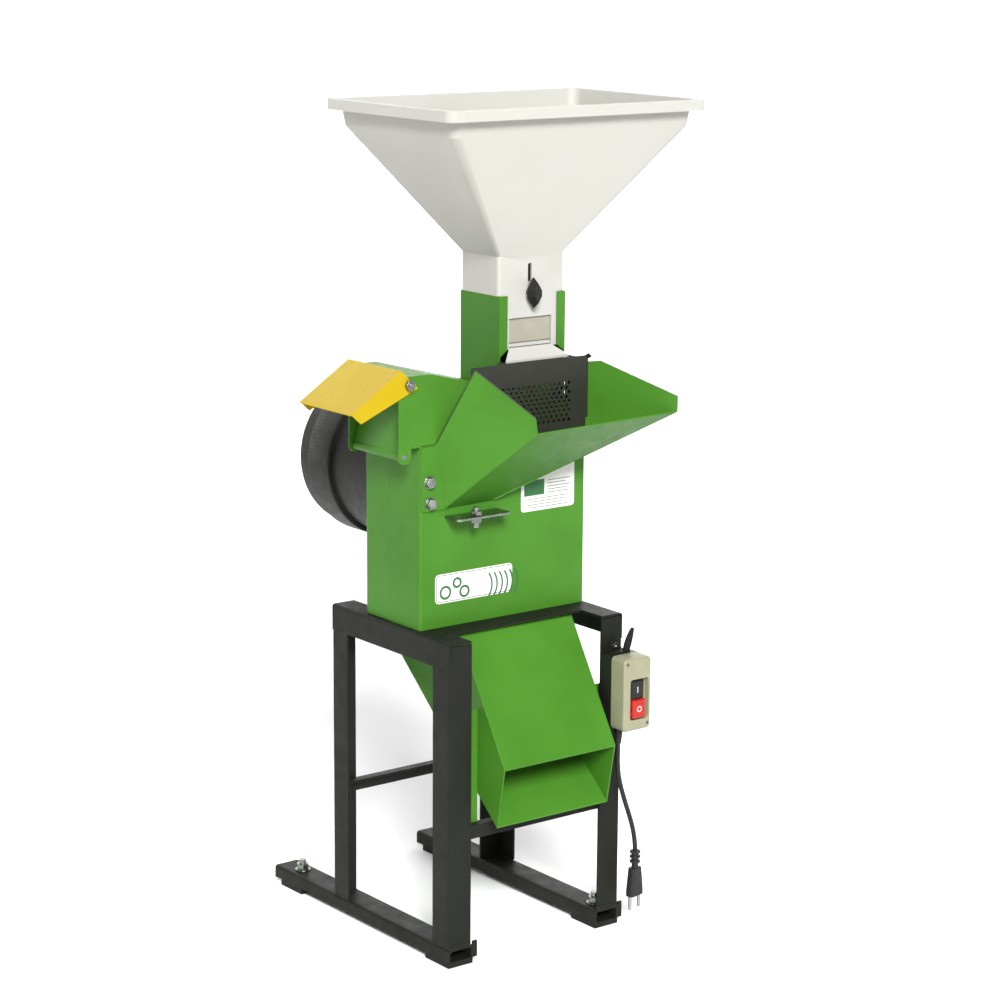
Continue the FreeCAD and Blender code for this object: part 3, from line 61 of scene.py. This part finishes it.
class Look:
    """A principled material with a few procedural layers on object coordinates."""

    def __init__(self, name, color, roughness=0.4, metallic=0.0, **sockets):
        self.material = bpy.data.materials.new(name)
        self.material.use_nodes = True
        self.tree = self.material.node_tree
        self.shader = self.tree.nodes["Principled BSDF"]
        self.base = color
        self.coords = self.add("ShaderNodeTexCoord").outputs["Object"]
        self.shader.inputs["Base Color"].default_value = (*color, 1.0)
        self.shader.inputs["Roughness"].default_value = roughness
        self.shader.inputs["Metallic"].default_value = metallic
        for key, value in sockets.items():
            self.shader.inputs[key.replace("_", " ")].default_value = value
        self.bump_from = None

    def add(self, kind, **settings):
        node = self.tree.nodes.new(kind)
        for key, value in settings.items():
            setattr(node, key, value)
        return node

    def link(self, source, target):
        self.tree.links.new(source, target)
        return self

    def noise(self, scale, detail=3.0, stretch=None, distortion=0.0):
        """A noise value from 0 to 1; scale is in features per metre."""
        source = self.coords
        if stretch:
            mapping = self.add("ShaderNodeMapping")
            mapping.inputs["Scale"].default_value = stretch
            self.link(source, mapping.inputs["Vector"])
            source = mapping.outputs["Vector"]
        node = self.add("ShaderNodeTexNoise")
        node.inputs["Scale"].default_value = scale
        node.inputs["Detail"].default_value = detail
        node.inputs["Distortion"].default_value = distortion
        self.link(source, node.inputs["Vector"])
        return node.outputs["Fac"]

    def cells(self, scale):
        node = self.add("ShaderNodeTexVoronoi")
        node.inputs["Scale"].default_value = scale
        self.link(self.coords, node.inputs["Vector"])
        return node.outputs["Distance"]

    def ramp(self, source, low, high, start=0.0, end=1.0):
        """Maps the range low to high of source onto start to end, clamped."""
        node = self.add("ShaderNodeMapRange", clamp=True)
        for key, value in (("From Min", low), ("From Max", high), ("To Min", start), ("To Max", end)):
            node.inputs[key].default_value = value
        self.link(source, node.inputs["Value"])
        return node.outputs["Result"]

    def tint(self, mask, color):
        """Lays color over the base colour where mask is 1."""
        target = self.shader.inputs["Base Color"]
        mix = self.add("ShaderNodeMix", data_type="RGBA")
        self.link(mask, mix.inputs["Factor"])
        if target.is_linked:
            self.link(target.links[0].from_socket, mix.inputs["A"])
        else:
            mix.inputs["A"].default_value = target.default_value
        mix.inputs["B"].default_value = (*color, 1.0)
        self.link(mix.outputs["Result"], target)
        return self

    def rough(self, source, low, high, start, end):
        self.link(self.ramp(source, low, high, start, end), self.shader.inputs["Roughness"])
        return self

    def bump(self, height, distance, strength=1.0):
        node = self.add("ShaderNodeBump")
        node.inputs["Distance"].default_value = distance
        node.inputs["Strength"].default_value = strength
        self.link(height, node.inputs["Height"])
        if self.bump_from:
            self.link(self.bump_from, node.inputs["Normal"])
        self.bump_from = node.outputs["Normal"]
        self.link(self.bump_from, self.shader.inputs["Normal"])
        return self


def painted(name, color, roughness, coat):
    """Sheet steel under a sprayed coat: orange peel, slight waves and faint cloudiness."""
    look = Look(name, color, roughness, Coat_Weight=coat, Coat_Roughness=0.2, Specular_IOR_Level=0.12)
    broad = look.noise(9.0, 4.0)
    lighter = tuple(min(1.0, c * 1.07 + 0.002) for c in color)
    darker = tuple(c * 0.90 for c in color)
    look.tint(look.ramp(broad, 0.45, 0.72), lighter)
    look.tint(look.ramp(broad, 0.50, 0.28), darker)
    look.rough(look.noise(60.0, 4.0, distortion=0.4), 0.3, 0.7, roughness - 0.05, roughness + 0.09)
    look.bump(look.noise(700.0, 2.0), ORANGE_PEEL, 0.35)
    look.bump(look.noise(22.0, 2.0), SHEET_WAVE, 0.18)
    return look.material


def green_paint():
    return painted("green_paint", (0.043, 0.152, 0.013), 0.42, coat=0.02)


def frame_paint():
    return painted("frame_paint", (0.0090, 0.0100, 0.0072), 0.52, coat=0.0)


def charcoal_paint():
    look = Look("charcoal_paint", (0.019, 0.0195, 0.017), 0.5, Specular_IOR_Level=0.15)
    look.tint(look.ramp(look.noise(12.0, 4.0), 0.45, 0.75), (0.024, 0.0245, 0.021))
    look.rough(look.noise(80.0, 4.0), 0.3, 0.7, 0.42, 0.56)
    look.bump(look.noise(520.0, 3.0), 0.00012, 0.5)
    return look.material


def guard_steel():
    look = Look("guard_steel", (0.019, 0.0195, 0.015), 0.44, 0.0, Specular_IOR_Level=0.3)
    look.tint(look.ramp(look.noise(16.0, 4.0), 0.45, 0.75), (0.024, 0.0245, 0.019))
    look.rough(look.noise(140.0, 4.0, stretch=(1.0, 1.0, 0.2)), 0.3, 0.7, 0.36, 0.50)
    look.bump(look.noise(600.0, 2.0), 0.00005, 0.4)
    return look.material


def yellow_paint():
    look = Look("yellow_paint", (0.370, 0.260, 0.003), 0.38, Coat_Weight=0.02, Coat_Roughness=0.2,
                Specular_IOR_Level=0.12)
    look.tint(look.ramp(look.noise(14.0, 3.0), 0.48, 0.75), (0.390, 0.280, 0.005))
    look.rough(look.noise(70.0, 4.0), 0.3, 0.7, 0.26, 0.38)
    look.bump(look.noise(700.0, 2.0), 0.00006, 0.3)
    return look.material


def white_plastic():
    """Rotomoulded polyethylene: milky, faintly mottled, with a fine mould texture."""
    look = Look("white_plastic", (0.385, 0.380, 0.350), 0.52, Subsurface_Weight=0.10, Subsurface_Scale=0.012,
                Specular_IOR_Level=0.3)
    look.shader.inputs["Subsurface Radius"].default_value = (1.0, 0.85, 0.6)
    look.tint(look.ramp(look.noise(7.0, 5.0), 0.50, 0.78), (0.400, 0.395, 0.370))
    look.tint(look.ramp(look.noise(26.0, 6.0, distortion=0.6), 0.60, 0.80, 0.0, 0.35), (0.340, 0.330, 0.290))
    look.rough(look.noise(90.0, 4.0), 0.3, 0.7, 0.46, 0.60)
    look.bump(look.noise(900.0, 2.0), 0.00005, 0.35)
    look.bump(look.noise(12.0, 2.0), 0.0011, 0.16)
    return look.material


def zinc():
    """Bright zinc plate with a faint spangle."""
    look = Look("zinc", (0.24, 0.26, 0.23), 0.3, 1.0)
    look.tint(look.ramp(look.cells(420.0), 0.1, 0.6), (0.19, 0.21, 0.19))
    look.tint(look.ramp(look.noise(60.0, 4.0), 0.52, 0.70), (0.37, 0.37, 0.34))
    look.rough(look.noise(240.0, 3.0), 0.3, 0.7, 0.22, 0.42)
    look.bump(look.noise(420.0, 3.0), 0.00004, 0.4)
    return look.material


def steel():
    """Machined steel with fine turning marks and a film of oil."""
    look = Look("steel", (0.36, 0.36, 0.37), 0.34, 1.0)
    look.tint(look.ramp(look.noise(25.0, 5.0), 0.52, 0.78), (0.22, 0.19, 0.16))
    look.rough(look.noise(300.0, 3.0, stretch=(1.0, 14.0, 1.0)), 0.3, 0.7, 0.25, 0.50)
    look.bump(look.noise(500.0, 2.0, stretch=(1.0, 20.0, 1.0)), 0.00003, 0.5)
    return look.material


def copper_core():
    look = Look("copper_core", (0.23, 0.15, 0.10), 0.45, 0.9)
    bands = look.add("ShaderNodeTexWave", bands_direction="Y")
    bands.inputs["Scale"].default_value = 260.0
    look.link(look.coords, bands.inputs["Vector"])
    look.tint(look.ramp(bands.outputs["Fac"], 0.4, 0.6), (0.13, 0.09, 0.07))
    look.bump(bands.outputs["Fac"], 0.0002, 0.6)
    return look.material


def moulded(name, color, roughness, grain=0.00008, scale=900.0):
    """Injection-moulded plastic or rubber with a spark-eroded grain."""
    look = Look(name, color, roughness, Specular_IOR_Level=0.3)
    look.tint(look.ramp(look.noise(40.0, 4.0), 0.48, 0.80), tuple(min(1.0, c * 1.12 + 0.001) for c in color))
    look.rough(look.noise(120.0, 4.0), 0.3, 0.7, roughness - 0.06, roughness + 0.08)
    look.bump(look.noise(scale, 2.0), grain, 0.5)
    return look.material


MATERIALS = {
    "green_paint": green_paint(),
    "frame_paint": frame_paint(),
    "charcoal_paint": charcoal_paint(),
    "guard_steel": guard_steel(),
    "yellow_paint": yellow_paint(),
    "white_plastic": white_plastic(),
    "zinc": zinc(),
    "steel": steel(),
    "copper_core": copper_core(),
    "switch_grey": moulded("switch_grey", (0.225, 0.220, 0.142), 0.42),
    # painted shade: the gate plate is the white plastic darkened as it looks in shade behind the funnel's
    # window
    "gate_shaded_white": moulded("gate_shaded_white", (0.270, 0.255, 0.200), 0.46),
    # painted shade: a near-black green for the thin lines of shade along the hopper's free edges
    "painted_edge_shade": moulded("painted_edge_shade", (0.022, 0.030, 0.018), 0.40),
    "print_green": moulded("print_green", (0.018, 0.100, 0.028), 0.38, 0.00001),
    "print_dark": moulded("print_dark", (0.020, 0.026, 0.022), 0.38, 0.00001),
    "print_grey": moulded("print_grey", (0.150, 0.150, 0.145), 0.38, 0.00001),
    "print_white": moulded("print_white", (0.420, 0.420, 0.400), 0.38, 0.00001),
    "black_plastic": moulded("black_plastic", (0.009, 0.009, 0.0085), 0.40),
    "red_plastic": moulded("red_plastic", (0.330, 0.013, 0.007), 0.28, 0.00003),
    "black_rubber": moulded("black_rubber", (0.009, 0.009, 0.009), 0.52),
}


# ---- mesh helpers --------------------------------------------------------
def link_piece(name, mesh, material):
    piece = bpy.data.objects.new(name, mesh)
    bpy.context.scene.collection.objects.link(piece)
    mesh.materials.clear()
    mesh.materials.append(material)
    return piece


def settle(piece, body, bevel=0.0, segments=3, smooth=32.0):
    """Rounds the piece's edges, shades it by angle and lets it ride on its body."""
    for polygon in piece.data.polygons:
        polygon.use_smooth = True
    piece.data.set_sharp_from_angle(angle=radians(smooth))
    if bevel:
        rounding = piece.modifiers.new("edges", "BEVEL")
        rounding.width = bevel
        rounding.segments = segments
        rounding.limit_method = "ANGLE"
        rounding.angle_limit = radians(smooth)
        rounding.harden_normals = True
        rounding.use_clamp_overlap = True
    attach(piece, body)
    return piece


def finish_node(name, bevel=0.0006, segments=3, material=None, smooth=32.0):
    """A softened copy of a CAD node: flat faces joined up and every edge rounded."""
    mesh = bpy.data.meshes.new(name + "_mesh")
    shape = bmesh.new()
    shape.from_mesh(nodes[name].data)
    bmesh.ops.remove_doubles(shape, verts=shape.verts, dist=0.00002)
    bmesh.ops.dissolve_limit(shape, angle_limit=radians(0.6), verts=shape.verts, edges=shape.edges)
    shape.to_mesh(mesh)
    shape.free()
    piece = link_piece(name + "_finished", mesh, material or MATERIALS[slot_of[name]])
    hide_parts(name)
    return settle(piece, body_of[name], bevel, segments, smooth)


def keep_node(name):
    """A CAD node that shows as it is, in its own material."""
    nodes[name].data.materials.clear()
    nodes[name].data.materials.append(MATERIALS[slot_of[name]])


def mesh_from(name, verts, faces):
    mesh = bpy.data.meshes.new(name)
    mesh.from_pydata([tuple(v) for v in verts], [], faces)
    mesh.update()
    return mesh


def rounded_rectangle(x0, x1, y0, y1, z, r, steps=8):
    """Points round a level rectangle with round corners, anticlockwise."""
    points = []
    for cx, cy, start in ((x1 - r, y0 + r, -90), (x1 - r, y1 - r, 0),
                          (x0 + r, y1 - r, 90), (x0 + r, y0 + r, 180)):
        for i in range(steps + 1):
            a = radians(start + 90 * i / steps)
            points.append(Vector((cx + r * cos(a), cy + r * sin(a), z)))
    return points


def skin(loops, closed_ends=False):
    """Verts and faces that join loops of equal length, one after another."""
    verts = [p for loop in loops for p in loop]
    n = len(loops[0])
    faces = []
    for level in range(len(loops) - 1):
        a, b = level * n, (level + 1) * n
        faces += [(a + i, a + (i + 1) % n, b + (i + 1) % n, b + i) for i in range(n)]
    if closed_ends:
        faces.append(tuple(reversed(range(n))))
        faces.append(tuple(range(len(verts) - n, len(verts))))
    return verts, faces


def bead(name, points, radius, body="stand", material="green_paint", lumps=1.0):
    """A weld bead, or a dark line of painted shade along an edge: a thin rounded rope with a ripple, along a
    line of points.
    """
    step = radius * 0.8
    path = []
    for a, b in zip(points, points[1:]):
        a, b = Vector(a), Vector(b)
        count = max(2, int((b - a).length / step))
        path += [a.lerp(b, i / count) for i in range(count)]
    path.append(Vector(points[-1]))
    sides = 8
    loops = []
    for i, p in enumerate(path):
        along = (path[min(i + 1, len(path) - 1)] - path[max(i - 1, 0)]).normalized()
        side = along.orthogonal().normalized()
        up = along.cross(side)
        r = radius * (0.86 + 0.14 * lumps * cos(i * 2.1) ** 2 + 0.05 * sin(i * 0.37))
        if i in (0, len(path) - 1):
            r *= 0.55
        loops.append([p + side * r * cos(2 * pi * k / sides) + up * r * sin(2 * pi * k / sides)
                      for k in range(sides)])
    mesh = mesh_from(name, *skin(loops, True))
    piece = link_piece(name, mesh, MATERIALS[material])
    return settle(piece, body, smooth=60.0)


def flat_strip(name, outer, inner, front, material, body, closed):
    """A printed strip between two rows of x, z points, a hair in front of the given y (millimetres)."""
    y = (front - 0.03) * MM
    verts = [(x * MM, y, z * MM) for x, z in list(outer) + list(inner)]
    n = len(outer)
    faces = [(i, i + 1, n + i + 1, n + i) for i in range(n - 1)]
    if closed:
        faces.append((n - 1, 0, n, 2 * n - 1))
    piece = link_piece(name, mesh_from(name, verts, faces), MATERIALS[material])
    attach(piece, body)
    return piece


def arc_band(name, centre, r0, r1, start, end, front, material="print_green", body="stand", slot="label_film"):
    """Part of a flat ring, from one angle to another in degrees."""
    steps = 32
    angles = [radians(start + (end - start) * i / steps) for i in range(steps + 1)]
    rows = [[(centre[0] + r * cos(a), centre[1] + r * sin(a)) for a in angles] for r in (r1, r0)]
    return flat_strip(name, rows[0], rows[1], front, material, body, False)


def patch(name, place, front, material, body="stand"):
    x0, x1, z0, z1 = place
    return flat_strip(name, ((x0, z1), (x1, z1)), ((x0, z0), (x1, z0)), front, material, body, False)


def ring(name, place, corner, inset, width, front, material, body="stand"):
    """A thin line just inside the edge of a rounded plate."""
    rows = []
    for d in (inset, inset + width):
        x0, x1, z0, z1 = place
        points = rounded_rectangle(x0 + d, x1 - d, z0 + d, z1 - d, 0.0, corner - d)
        rows.append([(p.x, p.y) for p in points])
    return flat_strip(name, rows[0], rows[1], front, material, body, True)


# ---- stand ---------------------------------------------------------------
FLANGE_WIDTH = 36.0         # of the stand's angle iron, in millimetres
BEND = 4.0                  # from the outer face to the start of the flat
FOOT_WELD_RADIUS = 1.6
RAIL_WELD_RADIUS = 1.2


def build_stand():
    for name in ("legs", "top_rails", "cross_plates", "lower_bars", "skids"):
        finish_node(name, 0.0007)
    finish_node("foot_pads", 0.0016)
    finish_node("foot_bolts", 0.0009)
    finish_node("foot_nuts", 0.0006)
    low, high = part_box("top_rails")
    flange = FLANGE_WIDTH * MM
    skid_low, skid_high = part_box("skids")
    for side_x, sign in ((low.x, 1), (high.x, -1)):
        for y, turn in ((low.y, 1), (high.y, -1)):
            x0 = side_x + sign * BEND * MM
            x1 = side_x + sign * flange
            tag = f"{'left' if sign > 0 else 'right'}_{'front' if turn > 0 else 'rear'}"
            z = skid_high.z + 0.3 * MM
            bead(f"weld_foot_{tag}", [(x1, y + turn * 0.4 * MM, z), (x0, y + turn * 0.4 * MM, z)],
                 FOOT_WELD_RADIUS * MM, material="frame_paint")
            z = high.z - flange
            bead(f"weld_rail_{tag}", [(side_x + sign * 0.9 * MM, y + turn * 5 * MM, z),
                                      (side_x + sign * 0.9 * MM, y + turn * (flange - MM), z)],
                 RAIL_WELD_RADIUS * MM, material="frame_paint")


# ---- housing -------------------------------------------------------------
# Thin dark lines of painted shade along the hopper's free edges, and the welds where its sheets meet, in
# millimetres.
EDGE_SHADE_RADIUS = 0.9
WELD_RADIUS = 1.6
HOPPER_EDGES = (
    ("hem_right", ((150.0, -138.0, 772.4), (206.8, -231.6, 732.2), (206.6, -231.6, 711.4))),
    ("hem_left", ((-31.0, -231.6, 727.4), (-85.6, -175.2, 786.8), (-110.0, -124.6, 686.5))),
)
HOPPER_WELDS = (
    ("weld_floor_left", ((-95.0, -124.0, 600.5), (-28.0, -229.5, 706.8))),
    ("weld_floor_right", ((-16.0, -124.0, 601.5), (203.0, -230.0, 712.2))),
)


def build_housing():
    for name in ("housing_front_shell", "housing_rear_shell", "housing_roof", "grain_duct", "discharge_chute"):
        finish_node(name, 0.0008)
    for name in ("outlet_spout", "feed_hopper", "chute_brackets", "guard_rails"):
        finish_node(name, 0.0006)
    finish_node("hopper_rest", 0.0006)
    finish_node("hopper_bolts", 0.0005)
    finish_node("hood_bolts", 0.0005)
    finish_node("flap_rod_pin", 0.0006)
    finish_node("discharge_hood", 0.0005)
    finish_node("outlet_flap", 0.0004)
    keep_node("guard_screen")
    finish_node("grain_cheeks", 0.0004)
    # painted shade: near-black ropes along the hopper's top edges stand for the line of shade there
    for name, points in HOPPER_EDGES:
        bead(name, [tuple(v * MM for v in p) for p in points], EDGE_SHADE_RADIUS * MM,
             material="painted_edge_shade", lumps=0.0)
    for name, points in HOPPER_WELDS:
        bead(name, [tuple(v * MM for v in p) for p in points], WELD_RADIUS * MM)
    keep_node("counter_knife")
    keep_node("sieve")


# ---- inside --------------------------------------------------------------
def build_inside():
    for name in ("rotor_shaft", "rotor_discs", "hammer_pins", "rotor_knives", "motor_bearings", "stator_core",
                 "motor_rotor", "cooling_fan", "hammer_set_1", "hammer_set_2", "hammer_set_3", "switch_block"):
        keep_node(name)


# ---- motor ---------------------------------------------------------------
def build_motor():
    for name in ("motor_flange", "motor_shell", "motor_rear_ring", "motor_end_bell"):
        finish_node(name, 0.0010)
    finish_node("motor_screws", 0.0004)


# ---- funnel --------------------------------------------------------------
def build_funnel():
    finish_node("grain_funnel", 0.0012, 4)
    # painted shade: the gate plate takes a darkened white that stands for the shade behind the funnel's window
    finish_node("gate_plate", 0.0004, material=MATERIALS["gate_shaded_white"])
    finish_node("gate_knob", 0.0016, 4)


# ---- switch --------------------------------------------------------------
def build_switch():
    finish_node("switch_base", 0.0008)
    finish_node("switch_cover", 0.0006)
    finish_node("cover_screws", 0.0003)
    finish_node("on_button", 0.0007)
    finish_node("off_button", 0.0007)
    finish_node("switch_bracket", 0.0010)
    finish_node("bracket_bolt", 0.0004)


# ---- lead ----------------------------------------------------------------
LEAD_RADIUS = 3.25          # millimetres


def build_lead():
    finish_node("cord_gland", 0.0006)
    plug = finish_node("plug_body", 0.0009, 4)
    pins = finish_node("plug_pins", 0.0009, 3)
    route = (
        (0.1200, -0.2250, 0.2900),
        (0.1185, -0.2250, 0.2430),
        (0.1225, -0.2250, 0.2150),
        (0.1330, -0.2250, 0.1840),
        (0.1470, -0.2245, 0.1490),
        (0.1535, -0.2240, 0.1220),
        (0.1540, -0.2240, 0.1090),
    )
    curve = bpy.data.curves.new("power_lead", "CURVE")
    curve.dimensions = "3D"
    curve.bevel_depth = LEAD_RADIUS * MM
    curve.bevel_resolution = 5
    curve.use_fill_caps = True
    curve.resolution_u = 16
    spline = curve.splines.new("NURBS")
    spline.points.add(len(route) - 1)
    for point, place in zip(spline.points, route):
        point.co = (*place, 1.0)
    spline.order_u = 3
    spline.use_endpoint_u = True
    curve.materials.append(MATERIALS["black_rubber"])
    lead = bpy.data.objects.new("power_lead", curve)
    bpy.context.scene.collection.objects.link(lead)
    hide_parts("power_cord")
    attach(lead, "stand")


# ---- labels --------------------------------------------------------------
# Places on the front, in millimetres: x, x, z, z for plates and blocks; x, z, radius for rings.
BADGE = (-109.5, 17.0, 472.0, 511.5)
BADGE_CORNER = 6.0
BADGE_RINGS = ((-93.0, 486.0, 9.5), (-74.0, 497.0, 7.5), (-62.0, 484.0, 8.5))
RING_WIDTH = 3.2
BADGE_ARCS = 6
ARC_START = (-42.0, 487.0)
ARC_STEP = 8.6
ARC_RADII = (24.0, 26.6)
ARC_HALF_ANGLE = 38.0
RATING_BLOCK = (36.0, 70.0, 598.0, 619.0)
RATING_RULE = (36.0, 116.0, 596.0, 596.5)


def build_labels():
    look = Look("label_film", (0.590, 0.590, 0.560), 0.3, Specular_IOR_Level=0.3)
    look.rough(look.noise(150.0, 3.0), 0.3, 0.7, 0.24, 0.38)
    MATERIALS["label_film"] = look.material
    finish_node("label_plates", 0.0001, 2)
    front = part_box("label_plates")[0].y / MM
    ring("badge_line", BADGE, BADGE_CORNER, 1.6, 0.8, front, "print_dark")
    for number in range(BADGE_ARCS):
        centre = (ARC_START[0] + ARC_STEP * number, ARC_START[1])
        arc_band(f"badge_arc_{number}", centre, *ARC_RADII, -ARC_HALF_ANGLE, ARC_HALF_ANGLE, front)
    for number, (x, z, radius) in enumerate(BADGE_RINGS):
        arc_band(f"badge_spot_{number}", (x, z), radius - RING_WIDTH, radius, 0.0, 360.0, front)
    patch("rating_block", RATING_BLOCK, front, "print_green")
    for number in range(5):
        z = 617.0 - 4.2 * number
        patch(f"rating_bar_{number}", (75.0, 113.0 - 7.0 * (number % 2), z - 1.2, z), front, "print_grey")
    for number in range(4):
        z = 594.0 - 4.0 * number
        left, right = 42.0 + 4.0 * (number % 2), 110.0 - 5.0 * (number % 3)
        patch(f"rating_row_{number}", (left, right, z - 1.1, z), front, "print_grey")
    patch("rating_rule", RATING_RULE, front, "print_dark")


def build_marks():
    """A plain bar on one button and a plain ring on the other, each riding its button."""
    low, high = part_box("on_button")
    x, z = (low.x + high.x) / 2 / MM, (low.z + high.z) / 2 / MM
    patch("on_mark", (x - 0.8, x + 0.8, z - 4.2, z + 4.2), low.y / MM, "print_white", "on_key")
    low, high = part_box("off_button")
    x, z = (low.x + high.x) / 2 / MM, (low.z + high.z) / 2 / MM
    arc_band("off_mark", (x, z), 2.6, 4.2, 0.0, 360.0, low.y / MM, "print_white", "off_key", "red_plastic")


# ---- floor, light and camera --------------------------------------------
FLOOR_HALF_WIDTH = 14.0     # metres
FLOOR_BEND_START = 3.5
FLOOR_BEND_RADIUS = 2.5
BACKDROP_TOP = 9.0
FLOOR_DROP = 0.0002
SKY_STRENGTH = 0.25
VIEW_YAW = 38.0             # degrees; the floor's back wall faces the camera


def build_stage():
    """A white floor that curves up behind the object, a soft sky, and two broad suns."""
    look = Look("pale_floor", (0.94, 0.94, 0.94), 0.6, Specular_IOR_Level=0.1)
    look.rough(look.noise(3.0, 3.0), 0.3, 0.7, 0.55, 0.7)
    size, start, bend = FLOOR_HALF_WIDTH, FLOOR_BEND_START, FLOOR_BEND_RADIUS
    rows = [(-size, 0.0), (start, 0.0)]
    rows += [(start + bend * sin(radians(a)), bend - bend * cos(radians(a))) for a in range(10, 91, 10)]
    rows.append((start + bend, BACKDROP_TOP))
    turn = Matrix.Rotation(radians(-VIEW_YAW), 4, "Z")
    verts = [turn @ Vector((x, y, z - FLOOR_DROP)) for y, z in rows for x in (-size, size)]
    faces = [(2 * i, 2 * i + 1, 2 * i + 3, 2 * i + 2) for i in range(len(rows) - 1)]
    mesh = mesh_from("floor", verts, faces)
    mesh.materials.append(look.material)
    for polygon in mesh.polygons:
        polygon.use_smooth = True
    floor = bpy.data.objects.new("floor", mesh)
    bpy.context.scene.collection.objects.link(floor)

    world = bpy.data.worlds.new("studio")
    bpy.context.scene.world = world
    world.use_nodes = True
    sky = world.node_tree.nodes["Background"]
    sky.inputs["Color"].default_value = (1.0, 1.0, 1.0, 1.0)
    sky.inputs["Strength"].default_value = SKY_STRENGTH
    for name, toward, power, angle in (
        ("key", (0.394, 0.741, -0.545), 6.3, 20.0),
        ("back", (0.15, -0.70, -0.70), 0.3, 60.0),
    ):
        lamp = bpy.data.lights.new(name, "SUN")
        lamp.energy = power
        lamp.angle = radians(angle)
        light = bpy.data.objects.new(name, lamp)
        light.rotation_euler = Vector(toward).to_track_quat("-Z", "Y").to_euler()
        bpy.context.scene.collection.objects.link(light)
    bpy.context.scene.view_settings.view_transform = "Standard"


CAMERA_PLACE = (-2.1930, -2.9848, 1.3756)
CAMERA_ANGLES = (38.09, 12.60, 0.55)        # yaw, pitch and roll in degrees
CAMERA_LENS = 100.69
CAMERA_SHIFT = (-0.0325, 0.0216)


def build_camera():
    """Above and to the front left, looking slightly down, with a long lens."""
    yaw, pitch, roll = (radians(angle) for angle in CAMERA_ANGLES)
    forward = Vector((sin(yaw) * cos(pitch), cos(yaw) * cos(pitch), -sin(pitch)))
    level = Vector((cos(yaw), -sin(yaw), 0.0))
    up = level.cross(forward)
    right = level * cos(roll) + up * sin(roll)
    up = up * cos(roll) - level * sin(roll)
    data = bpy.data.cameras.new("camera")
    data.sensor_width = 36.0
    data.lens = CAMERA_LENS
    data.shift_x, data.shift_y = CAMERA_SHIFT
    camera = bpy.data.objects.new("camera", data)
    turn = Matrix((right, up, -forward)).transposed().to_4x4()
    camera.matrix_world = Matrix.Translation(CAMERA_PLACE) @ turn
    bpy.context.scene.collection.objects.link(camera)
    bpy.context.scene.camera = camera


build_labels()
build_stand()
build_housing()
build_inside()
build_motor()
build_funnel()
build_switch()
build_marks()
build_lead()
build_stage()
build_camera()
